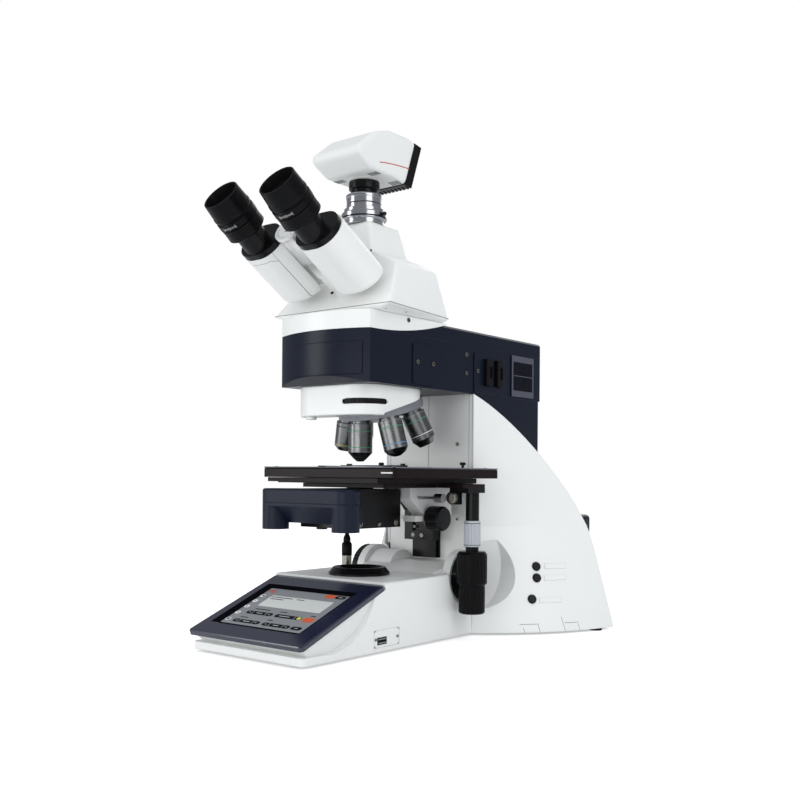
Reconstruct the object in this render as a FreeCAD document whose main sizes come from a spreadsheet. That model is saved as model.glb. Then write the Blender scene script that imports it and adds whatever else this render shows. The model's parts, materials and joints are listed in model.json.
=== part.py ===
import FreeCAD, Part
import math
import os
import re
import Sketcher

# Automated laboratory microscope, millimetres.
# The model's origin is on the bench, under the optical axis. X is to the user's right, Y goes back, Z is up.
# The files' origin is the middle of the footprint, straight behind it.

# Driving sizes: name, value, meaning
SIZES = (
    ("foot_height", 2.5, "height of the rubber feet"),
    ("foot_radius", 7.0, "radius of a rubber foot"),
    ("base_half", 74.0, "half width of the base at its side walls"),
    ("base_front", -157.0, "front of the base"),
    ("wing_start", 97.0, "where the side walls of the base end and the wings begin"),
    ("plinth_top", 9.8, "top of the plinth in front of the console"),
    ("deck_top", 67.5, "top of the deck between display and column"),
    ("edge_soft", 2.5, "edge radius of the white housings"),
    ("cheek_start", -132.0, "where the curved cheek line leaves the plinth top"),
    ("cheek_mid_y", -86.0, "middle of the cheek line, from the axis"),
    ("cheek_mid_z", 21.0, "middle of the cheek line, height"),
    ("cheek_top", -62.0, "where the cheek line meets the underside of the display frame"),
    ("console_front", -157.0, "front upper edge of the console"),
    ("console_toe", -148.0, "front lower edge of the console"),
    ("console_inset", 1.5, "step of the console behind the side of the display frame"),
    ("console_lean", 9.0, "how far the console sides lean in over their depth"),
    ("console_depth", 30.0, "depth over which the console sides lean in"),
    ("display_tilt", 21.4, "tilt of the display, degrees"),
    ("display_front", -162.0, "front edge of the display frame"),
    ("display_low", 20.6, "height of the front edge of the display frame"),
    ("bezel_length", 123.0, "slope length of the display frame"),
    ("bezel_thick", 5.0, "thickness of the display frame"),
    ("bezel_front_half", 76.0, "half width of the display frame at its front"),
    ("bezel_rear_half", 74.0, "half width of the display frame at its rear"),
    ("bezel_corner", 4.0, "corner radius of the display frame"),
    ("bezel_bevel", 1.0, "bevel of the display frame"),
    ("screen_half", 55.5, "half width of the screen"),
    ("screen_low", 19.0, "slope distance of the screen's lower edge"),
    ("screen_high", 95.0, "slope distance of the screen's upper edge"),
    ("screen_thick", 1.6, "thickness of the screen glass"),
    ("screen_sunk", 0.3, "how far the screen lies below the frame"),
    ("fit", 0.1, "clearance of pieces that sit in one another"),
    ("gap", 0.3, "running clearance of moving pieces"),
    ("ring_radius", 31.7, "radius of the light port ring"),
    ("ring_top_radius", 27.0, "outer radius of the ring's top"),
    ("ring_bore", 20.0, "bore of the ring"),
    ("ring_rise", 7.8, "height of the ring"),
    ("wheel_y", 98.0, "focus wheel axis, from the optical axis"),
    ("wheel_z", 62.5, "focus wheel axis, height"),
    ("wheel_radius", 28.0, "radius of the focus wheels"),
    ("wheel_inner", 66.0, "inner face of a focus wheel"),
    ("wheel_outer", 75.0, "outer face of a focus wheel"),
    ("wheel_shaft", 4.0, "radius of the focus shaft"),
    ("hub_radius", 28.5, "radius of the fixed disc beside a wheel"),
    ("hub_inner", 55.2, "inner face of the fixed disc"),
    ("hub_outer", 65.0, "outer face of the fixed disc"),
    ("scoop_radius", 32.0, "radius of the scoop at the column side"),
    ("scoop_wide", 46.5, "radius of the scoop at its outer end"),
    ("scoop_lift", 10.5, "how far the wide end of the scoop lies above the wheel axis"),
    ("scoop_run", 20.0, "width over which the scoop opens"),
    ("gear_bulge", 24.0, "radius of the bulge over the focus gear"),
    ("gear_bulge_end", -21.6, "inner end of the bulge"),
    ("deck_cover_front", 52.0, "front of the sloped deck cover"),
    ("deck_cover_knee", 90.0, "where the deck cover becomes level"),
    ("deck_cover_top", 76.5, "top of the deck cover"),
    ("deck_cover_left", -52.0, "left end of the deck cover"),
    ("column_half", 60.0, "half width of the column and of the arm"),
    ("column_front", 117.0, "front face of the column"),
    ("column_rear", 257.0, "rear face of the column and of the arm"),
    ("cover_wall", 3.8, "wall of the column's front covers"),
    ("cover_seam", 55.0, "seam between front cover and side wing"),
    ("casting_rear", 204.0, "rear face of the column casting"),
    ("duct_half", 28.0, "half width of the cable duct in the casting"),
    ("duct_front", 150.0, "front of the cable duct"),
    ("duct_rear", 185.0, "rear of the cable duct"),
    ("wing_seam", 0.2, "gap between wing and column"),
    ("wing_rear", 242.0, "rear edge of the wings"),
    ("wing_foot_x", 167.0, "half width of the stand at the rear of the wings, at the bench"),
    ("wing_foot_bulge", 16.5, "bulge of the wing's outline at the bench"),
    ("wing_mid_z", 115.0, "height of the middle outline of the wings"),
    ("wing_mid_x", 135.0, "half width at the rear of the middle outline"),
    ("wing_mid_bulge", 5.0, "bulge of the middle outline"),
    ("wing_top_x", 76.0, "half width at the rear of the top outline"),
    ("wing_top_bulge", 1.0, "bulge of the top outline"),
    ("wing_edge", 1.2, "thickness of the wings' front edge"),
    ("wing_arc", 188.2, "radius of the wings' upper edge"),
    ("wing_arc_z", 81.8, "height of the centre of the wings' upper edge"),
    ("arm_bottom", 259.5, "underside of the arm"),
    ("arm_top", 311.5, "top of the arm"),
    ("arm_front", -55.0, "front corners of the arm"),
    ("arm_nose", -70.0, "foremost point of the arm's curved front"),
    ("arm_chin", 267.0, "height of the arm's lower edge at the foremost point"),
    ("front_cover_half", 53.0, "half width of the arm's front cover"),
    ("front_cover_top", 299.0, "top seam of the arm's front cover"),
    ("front_cover_thick", 2.4, "thickness of the arm's front cover"),
    ("front_cover_proud", 0.5, "how far the front cover stands proud"),
    ("top_cover_top", 328.0, "top of the arm's rear cover"),
    ("neck_top", 329.5, "top of the white neck"),
    ("neck_flat", -48.0, "where the neck's lower edge begins to rise"),
    ("neck_step", 66.0, "where the neck's lower edge reaches the rear cover's top"),
    ("neck_rear", 70.0, "rear end of the neck"),
    ("neck_curve_y", 12.0, "middle of the neck's rising edge, from the axis"),
    ("neck_curve_z", 316.3, "middle of the neck's rising edge, height"),
    ("lamp_half", 52.0, "half width of the lamp housing"),
    ("lamp_rear", 385.0, "rear of the lamp housing"),
    ("lamp_bottom", 32.0, "underside of the lamp housing"),
    ("lamp_top", 114.0, "top of the lamp housing"),
    ("usb_rear", -24.5, "rear end of the socket panel"),
    ("usb_front", -62.5, "front end of the socket panel"),
    ("usb_low", 6.5, "lower edge of the socket panel"),
    ("usb_high", 23.3, "upper edge of the socket panel"),
    ("usb_plate", 0.8, "thickness of the socket panel"),
    ("usb_socket_y", -50.4, "middle of the socket"),
    ("usb_socket_z", 12.6, "middle height of the socket"),
    ("usb_socket_wide", 14.0, "width of the socket"),
    ("usb_socket_tall", 7.2, "height of the socket"),
    ("usb_socket_deep", 12.0, "depth of the socket"),
    ("screw_radius", 2.3, "head radius of the casing screws"),
    ("screw_head", 0.9, "head height of the casing screws"),
    ("port_front", 10.0, "front edge of the port cover"),
    ("port_rear", 49.0, "rear edge of the port cover"),
    ("port_low", 263.0, "lower edge of the port cover"),
    ("port_high", 304.0, "upper edge of the port cover"),
    ("panel_thick", 1.2, "thickness of the panels on the arm's side"),
    ("slider_frame_front", 118.0, "front edge of the slider frame"),
    ("slider_frame_rear", 177.0, "rear edge of the slider frame"),
    ("slider_low", 270.0, "lower edge of the filter sliders"),
    ("slider_high", 299.0, "upper edge of the filter sliders"),
    ("slider_one", 142.0, "middle of the front filter slider"),
    ("slider_pitch", 21.0, "distance between the filter sliders"),
    ("slider_wide", 11.0, "width of a filter slider"),
    ("slider_inner", 22.0, "inner end of the filter sliders"),
    ("slider_handle", 66.5, "outer end of the slider handles"),
    ("vent_front", 193.0, "front edge of the vent grille"),
    ("vent_rear", 240.0, "rear edge of the vent grille"),
    ("vent_low", 262.0, "lower edge of the vent grille"),
    ("vent_high", 309.0, "upper edge of the vent grille"),
    ("vent_slot", 2.6, "height of a vent slot"),
    ("vent_pitch", 4.2, "distance between vent slots"),
    ("vent_count", 8, "vent slots in each column"),
    ("vent_deep", 5.0, "depth of the recess behind the vent grille"),
    ("housing_half", 52.0, "half width of the nosepiece housing"),
    ("housing_front", -50.0, "front of the nosepiece housing"),
    ("housing_corner", 25.0, "radius of the housing's front corners"),
    ("housing_bottom", 229.0, "underside of the housing's front"),
    ("housing_step", -23.4, "where the housing's underside begins to rise"),
    ("housing_rear", 62.0, "rear of the nosepiece housing"),
    ("thumbwheel_low", 240.4, "underside of the prism thumbwheel"),
    ("thumbwheel_thick", 4.6, "thickness of the prism thumbwheel"),
    ("thumbwheel_radius", 24.7, "radius of the prism thumbwheel"),
    ("turret_tilt", 16.2, "tilt of the turret's axis, degrees"),
    ("turret_reach", 126.7, "distance from the turret's pivot point to an objective's shoulder"),
    ("shoulder", 225.0, "height of the shoulder of the objective in use"),
    ("turret_radius", 45.5, "radius of the turret"),
    ("turret_rise", 12.0, "height of the turret's upper face over its seat circle"),
    ("turret_places", 7, "objective places on the turret"),
    ("objective_radius", 12.5, "radius of an objective"),
    ("objective_collar", 10.5, "radius of an objective's collar"),
    ("head_front", -49.0, "front lower edge of the head"),
    ("head_front_half", 79.0, "half width of the head at its front lower edge"),
    ("head_rear", 70.5, "rear lower edge of the head"),
    ("head_rear_half", 61.0, "half width of the head at its rear lower edge"),
    ("flange_z", 334.0, "height of the head's outer edge"),
    ("brow_z", 381.0, "height of the head's crease"),
    ("brow_front", -15.0, "front of the head's crease"),
    ("brow_front_half", 59.0, "half width of the head at the front of its crease"),
    ("brow_rear", 54.5, "rear of the head's crease"),
    ("brow_rear_half", 56.5, "half width of the head at the rear of its crease"),
    ("crown_z", 396.0, "lower end of the head's upper block"),
    ("crown_front", -18.5, "front of the upper block at its lower end"),
    ("crown_rear", 43.0, "rear of the upper block at its lower end"),
    ("crown_half", 29.0, "half width of the upper block at its lower end"),
    ("head_top", 429.0, "top of the head"),
    ("top_front", -12.0, "front of the head's top"),
    ("top_rear", 40.5, "rear of the head's top"),
    ("top_half", 20.5, "half width of the head's top"),
    ("eye_half", 37.5, "half of the distance between the eyepieces"),
    ("eye_travel", 9.0, "travel of each tube towards the middle"),
    ("tube_rise", 37.75, "rise of the eyepiece tubes, degrees"),
    ("housing_rise", 31.6, "rise of the tube housings, degrees"),
    ("tube_y", -47.0, "lower end of the tube axes, from the optical axis"),
    ("tube_z", 345.0, "lower end of the tube axes, height"),
    ("tube_wide", 25.3, "half width of a tube housing"),
    ("tube_length", 74.0, "distance of the collar from the lower end of the tube axis"),
    ("tube_low", -14.6, "lower side of a tube housing, across its axis"),
    ("tube_high", 29.2, "upper side of a tube housing, across its axis"),
    ("tube_foot", 68.6, "length of a tube housing along its axis"),
    ("tube_foot_tilt", 13.4, "tilt of the lower end of a tube housing, degrees"),
    ("tube_soft", 21.4, "edge radius of a tube housing"),
    ("collar_thick", 6.0, "thickness of the black collar on a tube housing"),
    ("collar_cut", 20.4, "corner radius of the collar"),
    ("sleeve_radius", 14.2, "radius of an eyepiece sleeve"),
    ("sleeve_bore", 11.6, "bore of an eyepiece sleeve"),
    ("sleeve_end", 98.0, "outer end of an eyepiece sleeve, along the tube"),
    ("eyepiece_radius", 20.3, "radius of an eyepiece"),
    ("eyecup_radius", 18.6, "radius of the eyecup's rim"),
    ("eyepiece_end", 141.3, "outer end of the eyecup, along the tube"),
    ("bridge_half", 15.0, "half width of the bridge between the tube housings"),
    ("bridge_foot_half", 8.5, "half width of the bridge's foot"),
    ("bridge_post", 3.6, "half width of the post that carries the dial"),
    ("bridge_low", 4.0, "underside of the bridge, across the housings' axis"),
    ("bridge_high", 14.0, "upper side of the bridge"),
    ("bridge_step", 34.0, "distance of the bridge's foot from the collars"),
    ("dial_radius", 15.0, "radius of the dial between the tubes"),
    ("dial_thick", 3.0, "thickness of the dial"),
    ("photo_y", 3.0, "axis of the camera tube"),
    ("photo_radius", 20.5, "radius of the camera tube's dark ring"),
    ("photo_bore", 11.0, "bore of the camera tube"),
    ("photo_ring_z", 434.0, "top of the dark ring"),
    ("clamp_radius", 23.5, "radius of the clamp ring"),
    ("clamp_top", 441.0, "top of the clamp ring"),
    ("flange_radius", 17.5, "radius of the camera adapter's flange"),
    ("flange_top", 459.6, "top of the adapter's flange"),
    ("adapter_radius", 13.75, "radius of the adapter's neck"),
    ("adapter_top", 465.0, "top of the adapter's neck"),
    ("mount_radius", 16.0, "radius of the camera's mount"),
    ("camera_half", 32.0, "half width of the camera"),
    ("camera_floor", 476.0, "underside of the camera at its mount"),
    ("camera_soft", 6.0, "large edge radius of the camera"),
    ("sink_thick", 12.0, "thickness of the camera's heat sink"),
    ("sink_foot", 32.0, "rear of the camera at its underside"),
    ("sink_head", 48.5, "rear of the camera at its top"),
    ("stage_left", -79.0, "left edge of the stage"),
    ("stage_right", 97.0, "right edge of the stage"),
    ("stage_front", -62.6, "front edge of the stage"),
    ("stage_rear", 113.0, "rear edge of the stage at its rear limit"),
    ("stage_top", 178.0, "top of the stage"),
    ("stage_thick", 10.7, "thickness of the stage's top plate"),
    ("stage_corner", 3.5, "corner radius of the stage"),
    ("stage_chamfer", 2.2, "chamfer round the stage's top"),
    ("rail_strip", 4.2, "thickness of the slide plate's left strip"),
    ("window_half_x", 22.0, "half length of the stage's opening"),
    ("window_half_y", 13.0, "half width of the stage's opening"),
    ("slide_plate_left", -62.5, "left edge of the stage's slide plate"),
    ("slide_plate_right", 74.0, "right edge of the slide plate"),
    ("slide_plate_front", -58.0, "front edge of the slide plate"),
    ("slide_plate_rear", 106.0, "rear edge of the slide plate"),
    ("slide_plate_thick", 5.2, "thickness of the slide plate"),
    ("light_hole", 24.0, "radius of the light opening in the lower stage plates"),
    ("base_plate_left", -44.0, "left edge of the stage's base plate"),
    ("base_plate_right", 66.0, "right edge of the base plate"),
    ("base_plate_front", -40.0, "front edge of the base plate"),
    ("base_plate_rear", 105.0, "rear edge of the base plate"),
    ("base_plate_thick", 4.1, "thickness of the base plate"),
    ("carriage_half", 20.8, "half width of the stage carriage"),
    ("carriage_low", 98.5, "underside of the stage carriage"),
    ("carriage_wall", 10.0, "thickness of the carriage's upright"),
    ("rail_half", 17.5, "half width of the stage rail"),
    ("rail_low", 78.5, "lower end of the stage rail"),
    ("focus_travel", 20.0, "focusing travel of the stage"),
    ("rail_thick", 7.0, "thickness of the stage rail"),
    ("drive_x", 92.5, "axis of the stage drive, from the optical axis"),
    ("drive_y", 71.0, "axis of the stage drive, depth"),
    ("drive_tube", 7.0, "radius of the drive tube"),
    ("drive_tube_low", 124.0, "lower end of the drive tube"),
    ("drive_spindle", 3.0, "radius of the drive spindle"),
    ("torque_radius", 8.6, "radius of the torque ring"),
    ("torque_low", 97.0, "lower end of the torque ring"),
    ("knob_y_radius", 15.6, "radius of the upper drive knob"),
    ("knob_y_top", 92.0, "top of the upper drive knob"),
    ("knob_seam", 58.0, "seam between the drive knobs"),
    ("knob_x_radius", 13.6, "radius of the lower drive knob"),
    ("knob_x_low", 28.0, "bottom of the lower drive knob"),
    ("flute_radius", 1.4, "radius of the flutes in the knobs"),
    ("clamp_knob_x", 82.0, "stage clamp knob, from the optical axis"),
    ("clamp_knob_y", 46.0, "front of the stage clamp knob"),
    ("clamp_knob_z", 147.5, "height of the stage clamp knob"),
    ("clamp_knob_radius", 6.0, "radius of the stage clamp knob"),
    ("condenser_top", 156.0, "top of the condenser"),
    ("casing_seam", 142.0, "seam of the condenser casing"),
    ("casing_half", 60.8, "half width of the condenser casing"),
    ("casing_front", -87.6, "front of the condenser casing"),
    ("casing_rear", -50.0, "rear of the condenser casing"),
    ("casing_soft", 13.4, "corner radius of the condenser casing"),
    ("pod_low", 115.3, "lower end of the condenser's pods"),
    ("panel_low", 122.0, "lower edge of the panel between the pods"),
    ("condenser_half", 36.0, "half width of the condenser body"),
    ("condenser_rear", 25.8, "rear of the condenser body"),
    ("condenser_low", 117.0, "underside of the condenser body"),
    ("lens_radius", 14.0, "radius of the condenser's top lens mount"),
    ("lens_rise", 4.2, "height of the lens mount over the condenser body"),
    ("carrier_left", 30.0, "left face of the condenser carrier"),
    ("carrier_right", 46.0, "right face of the condenser carrier"),
    ("carrier_rear", 98.0, "rear edge of the condenser carrier"),
    ("carrier_low", 122.0, "underside of the condenser carrier"),
    ("focus_knob_y", 59.0, "condenser knob, depth"),
    ("focus_knob_z", 125.0, "condenser knob, height"),
    ("focus_knob_radius", 13.0, "radius of the condenser knob"),
    ("focus_knob_end", 65.5, "outer face of the condenser knob"),
    ("key_y", 39.0, "centring key, depth"),
    ("key_z", 147.0, "centring key, height"),
    ("key_rod", 1.5, "radius of the centring key's rod"),
    ("key_handle", 4.5, "radius of the centring key's handle"),
    ("key_end", 79.0, "outer end of the centring key"),
    ("plug_x", -43.6, "plug of the condenser lead, from the optical axis"),
    ("plug_y", 29.0, "plug of the condenser lead, depth"),
    ("plug_radius", 5.2, "radius of the plug"),
    ("plug_top", 83.0, "top of the plug's metal shell"),
    ("relief_top", 97.5, "top of the plug's strain relief"),
    ("lead_radius", 1.1, "radius of the condenser lead"),
    ("lead_end_x", -33.0, "upper end of the lead, from the optical axis"),
    ("lead_end_z", 135.0, "upper end of the lead, height"),
    ("button_radius", 4.7, "radius of the wing's buttons"),
    ("button_proud", 2.2, "how far a button stands proud"),
    ("button_travel", 1.5, "travel of a button"),
    ("button_upper_y", 165.9, "upper button, depth"),
    ("button_upper_z", 71.3, "upper button, height"),
    ("button_middle_y", 162.9, "middle button, depth"),
    ("button_middle_z", 59.2, "middle button, height"),
    ("button_lower_y", 152.0, "lower button, depth"),
    ("button_lower_z", 37.1, "lower button, height"),
)

SHEET = "Sizes"
NAMES = set(name for name, value, meaning in SIZES)
V = FreeCAD.Vector
BIG = 700.0

doc = FreeCAD.newDocument("microscope")
sheet = doc.addObject("Spreadsheet::Sheet", SHEET)
for row, (name, size, meaning) in enumerate(SIZES, start=1):
    sheet.set("A%d" % row, meaning)
    sheet.set("B%d" % row, str(size))
    sheet.setAlias("B%d" % row, name)
doc.recompute()


def formula(text):
    """The expression for a text of size names, such as 'base_half - fit'."""
    return re.sub(r"[a-z_]+", lambda word: SHEET + "." + word.group() if word.group() in NAMES else word.group(),
                  str(text))


def value(text):
    """The number that a text of size names stands for."""
    return float(sheet.evalExpression(formula(text)))


def bind(thing, name, text):
    """Tie a property of an object to the sheet."""
    thing.setExpression(name, formula(text))


# Sketches and features

def new_body(label):
    body = doc.addObject("PartDesign::Body", label)
    body.Label = label
    return body


def sketch_on(body, plane, offset="0", tilt="0"):
    """A sketch on one of the body's own origin planes, shifted along its normal and turned about its first axis."""
    sketch = body.newObject("Sketcher::SketchObject", body.Name + "_outline")
    role = plane + "_Plane"
    origin_plane = [item for item in body.Origin.OriginFeatures if item.Role == role][0]
    sketch.AttachmentSupport = (origin_plane, [""])
    sketch.MapMode = "FlatFace"
    sketch.AttachmentOffset = FreeCAD.Placement(V(), FreeCAD.Rotation(V(1, 0, 0), value(tilt)))
    bind(sketch, "AttachmentOffset.Base.z", offset)
    if tilt != "0":
        bind(sketch, "AttachmentOffset.Rotation.Angle", tilt)
    return sketch


def pin_point(sketch, element, vertex, across, up):
    """Hold a point of a sketch at two sizes measured from the sketch's origin."""
    for kind, text in (("DistanceX", across), ("DistanceY", up)):
        index = sketch.addConstraint(Sketcher.Constraint(kind, -1, 1, element, vertex, value(text)))
        bind(sketch, "Constraints[%d]" % index, text)


def draw(sketch, corners):
    """Draw a closed outline. A corner is (across, up), or (across, up, across, up) where an arc leads to it
    from the corner before through the second pair."""
    count = len(corners)
    first = sketch.GeometryCount
    points = [V(value(corner[0]), value(corner[1]), 0) for corner in corners]
    for index, corner in enumerate(corners):
        start, end = points[index - 1], points[index]
        if len(corner) == 4:
            middle = V(value(corner[2]), value(corner[3]), 0)
            clockwise = (middle - start).cross(end - middle).z < 0
            if clockwise:
                start, end = end, start
            sketch.addGeometry(Part.Arc(start, middle, end), False)
        else:
            sketch.addGeometry(Part.LineSegment(start, end), False)
    ends = []
    for index in range(count):
        edge = sketch.Geometry[first + index]
        forward = edge.EndPoint.distanceToPoint(points[index]) < 1e-6
        ends.append((1, 2) if forward else (2, 1))
    for index in range(count):
        follower = (index + 1) % count
        sketch.addConstraint(Sketcher.Constraint(
            "Coincident", first + index, ends[index][1], first + follower, ends[follower][0]))
    for index, corner in enumerate(corners):
        pin_point(sketch, first + index, ends[index][1], corner[0], corner[1])
        if len(corner) == 4:
            mark = sketch.addGeometry(Part.Point(V(value(corner[2]), value(corner[3]), 0)), True)
            sketch.addConstraint(Sketcher.Constraint("PointOnObject", mark, 1, first + index))
            pin_point(sketch, mark, 1, corner[2], corner[3])


def draw_circle(sketch, across, up, radius):
    circle = sketch.addGeometry(Part.Circle(V(value(across), value(up), 0), V(0, 0, 1), value(radius)), False)
    pin_point(sketch, circle, 3, across, up)
    index = sketch.addConstraint(Sketcher.Constraint("Radius", circle, value(radius)))
    bind(sketch, "Constraints[%d]" % index, radius)


def rectangle(left, right, low, high):
    return ((left, low), (right, low), (right, high), (left, high))


def feature(body, kind, sketch, low, high, plane, taper="0"):
    """Pad or pocket a sketch between two heights along the plane's own axis."""
    item = body.newObject("PartDesign::" + kind, body.Name + "_" + kind.lower())
    item.Profile = sketch
    bind(item, "Length", "(%s) - (%s)" % (high, low))
    item.Reversed = kind == "Pocket"
    if taper != "0":
        bind(item, "TaperAngle", taper)
    sketch.Visibility = False
    return item


def start_height(plane, low, high):
    """A sketch on the XZ plane faces -Y, so it starts at the high end."""
    return "-(%s)" % high if plane == "XZ" else low


def solid(body, plane, corners, low, high, taper="0"):
    """Add an outline's prism to a body, between two heights along X, Y or Z."""
    sketch = sketch_on(body, plane, start_height(plane, low, high))
    draw(sketch, corners)
    return feature(body, "Pad", sketch, low, high, plane, taper)


def solid_round(body, plane, circles, low, high):
    sketch = sketch_on(body, plane, start_height(plane, low, high))
    for circle in circles:
        draw_circle(sketch, *circle)
    return feature(body, "Pad", sketch, low, high, plane)


def checked_cut(body, kind, sketch, low, high, plane):
    """Pocket, and make sure that something was removed."""
    doc.recompute()
    before = body.Tip.Shape.Volume
    item = feature(body, kind, sketch, low, high, plane)
    doc.recompute()
    if not item.Shape.Volume < before:
        raise RuntimeError("nothing cut in " + body.Label)
    return item


def hollow(body, plane, corners, low, high):
    """Remove an outline's prism from a body."""
    sketch = sketch_on(body, plane, start_height(plane, low, high))
    draw(sketch, corners)
    return checked_cut(body, "Pocket", sketch, low, high, plane)


def hollow_round(body, plane, circles, low, high):
    sketch = sketch_on(body, plane, start_height(plane, low, high))
    for circle in circles:
        draw_circle(sketch, *circle)
    return checked_cut(body, "Pocket", sketch, low, high, plane)


def turned(body, profile):
    """Revolve a profile of (radius, height) corners about the body's Z axis."""
    sketch = sketch_on(body, "XZ")
    draw(sketch, profile)
    item = body.newObject("PartDesign::Revolution", body.Name + "_turned")
    item.Profile = sketch
    item.ReferenceAxis = (sketch, ["V_Axis"])
    sketch.Visibility = False
    return item


def lofted(body, sections):
    """Loft ruled faces through outlines at heights: sections are (height, corners)."""
    sketches = []
    for height, corners in sections:
        sketch = sketch_on(body, "XY", height)
        draw(sketch, corners)
        sketch.Visibility = False
        sketches.append(sketch)
    item = body.newObject("PartDesign::AdditiveLoft", body.Name + "_loft")
    item.Profile = sketches[0]
    item.Sections = sketches[1:]
    item.Ruled = True
    return item


def around(body, item, count):
    """Repeat a feature round the body's Z axis."""
    pattern = body.newObject("PartDesign::PolarPattern", body.Name + "_round")
    pattern.Originals = [item]
    pattern.Axis = ([axis for axis in body.Origin.OriginFeatures if axis.Role == "Z_Axis"][0], [""])
    pattern.Angle = 360
    bind(pattern, "Occurrences", count)
    body.Tip = pattern
    return pattern


def in_row(body, item, axis_role, step, count):
    """Repeat a feature along one of the body's axes."""
    pattern = body.newObject("PartDesign::LinearPattern", body.Name + "_row")
    pattern.Originals = [item]
    pattern.Direction = ([axis for axis in body.Origin.OriginFeatures if axis.Role == axis_role][0], [""])
    pattern.Mode = "Spacing"
    bind(pattern, "Offset", step)
    bind(pattern, "Occurrences", count)
    body.Tip = pattern
    return pattern


def soften(body, kind, size, chosen):
    """Fillet or chamfer the edges of the body that the test chooses."""
    doc.recompute()
    base = body.Tip
    names = ["Edge%d" % number for number, edge in enumerate(base.Shape.Edges, start=1) if chosen(edge)]
    if not names:
        raise RuntimeError("no edge to soften on " + body.Label)
    item = body.newObject("PartDesign::" + kind, body.Name + "_" + kind.lower())
    item.Base = (base, names)
    bind(item, "Radius" if kind == "Fillet" else "Size", size)
    return item


def runs_along(edge, direction):
    """True for a straight edge that is parallel to a direction."""
    if not isinstance(edge.Curve, Part.Line):
        return False
    return abs(abs(edge.tangentAt(edge.FirstParameter) * direction) - 1) < 1e-4


X, Y, Z = V(1, 0, 0), V(0, 1, 0), V(0, 0, 1)


def edges_along(direction, test=lambda middle: True):
    return lambda edge: runs_along(edge, direction) and test(edge.CenterOfMass)


def edges_at_height(height):
    """The edges that lie wholly at a height."""
    level = value(height)
    return lambda edge: abs(edge.BoundBox.ZMin - level) < 1e-4 and abs(edge.BoundBox.ZMax - level) < 1e-4


def place(thing, x="0", y="0", z="0", facing=None, turn=None):
    """Put an object somewhere, its own Z axis facing a direction or turned by an axis and an angle."""
    if facing is not None:
        thing.Placement = FreeCAD.Placement(V(), FreeCAD.Rotation(Z, facing))
    if turn is not None:
        axis, angle = turn
        thing.Placement = FreeCAD.Placement(V(), FreeCAD.Rotation(axis, value(angle)))
        bind(thing, "Placement.Rotation.Angle", angle)
    bind(thing, "Placement.Base.x", x)
    bind(thing, "Placement.Base.y", y)
    bind(thing, "Placement.Base.z", z)
    return thing


def boolean(kind, label, base, tool):
    item = doc.addObject("Part::" + kind, label)
    item.Label = label
    item.Base = base
    item.Tool = tool
    return item


def group(label, members):
    item = doc.addObject("Part::Compound", label)
    item.Label = label
    item.Links = members
    return item


def mirrored(label, source, normal=X):
    item = doc.addObject("Part::Mirroring", label)
    item.Source = source
    item.Normal = normal
    return item


# Stand

def frame_underside(y):
    """Height of the display frame's underside at a distance y from the axis."""
    return "(display_low - bezel_thick / cos(display_tilt) + ((%s) - display_front) * tan(display_tilt))" % y


BEZEL_REAR_Y = "(display_front + bezel_length * cos(display_tilt))"
BEZEL_REAR_Z = "(display_low + bezel_length * sin(display_tilt))"
BEZEL_HEEL_Y = "(%s + bezel_thick * sin(display_tilt))" % BEZEL_REAR_Y
BEZEL_HEEL_Z = "(%s - bezel_thick * cos(display_tilt))" % BEZEL_REAR_Z
BEZEL_DECK_Y = "(%s - (deck_top - %s) * tan(display_tilt))" % (BEZEL_REAR_Y, BEZEL_REAR_Z)
CHEEK = ("cheek_top", frame_underside("cheek_top"), "cheek_mid_y", "cheek_mid_z")


def scoop_cutter(side):
    """The dished space round a focus wheel: it opens outwards from the column's side."""
    cutter = doc.addObject("Part::Loft", "scoop_" + side)
    rings = []
    for offset, radius, lift in (("0", "scoop_radius", "0"), ("scoop_run", "scoop_wide", "scoop_lift")):
        ring = doc.addObject("Part::Circle", "scoop_ring_" + side)
        bind(ring, "Radius", radius)
        sign = "1" if side == "right" else "-1"
        place(ring, "%s * (column_half + %s)" % (sign, offset), "wheel_y", "wheel_z + " + lift, facing=X)
        rings.append(ring)
    cutter.Sections = rings
    cutter.Solid = True
    cutter.Ruled = True
    outer = doc.addObject("Part::Cylinder", "scoop_outer_" + side)
    bind(outer, "Radius", "scoop_wide")
    bind(outer, "Height", "wing_foot_x")
    place(outer, "%s(column_half + scoop_run)" % ("" if side == "right" else "-"), "wheel_y",
          "wheel_z + scoop_lift", facing=X if side == "right" else -X)
    return boolean("Fuse", "scoop_space_" + side, cutter, outer)


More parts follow.
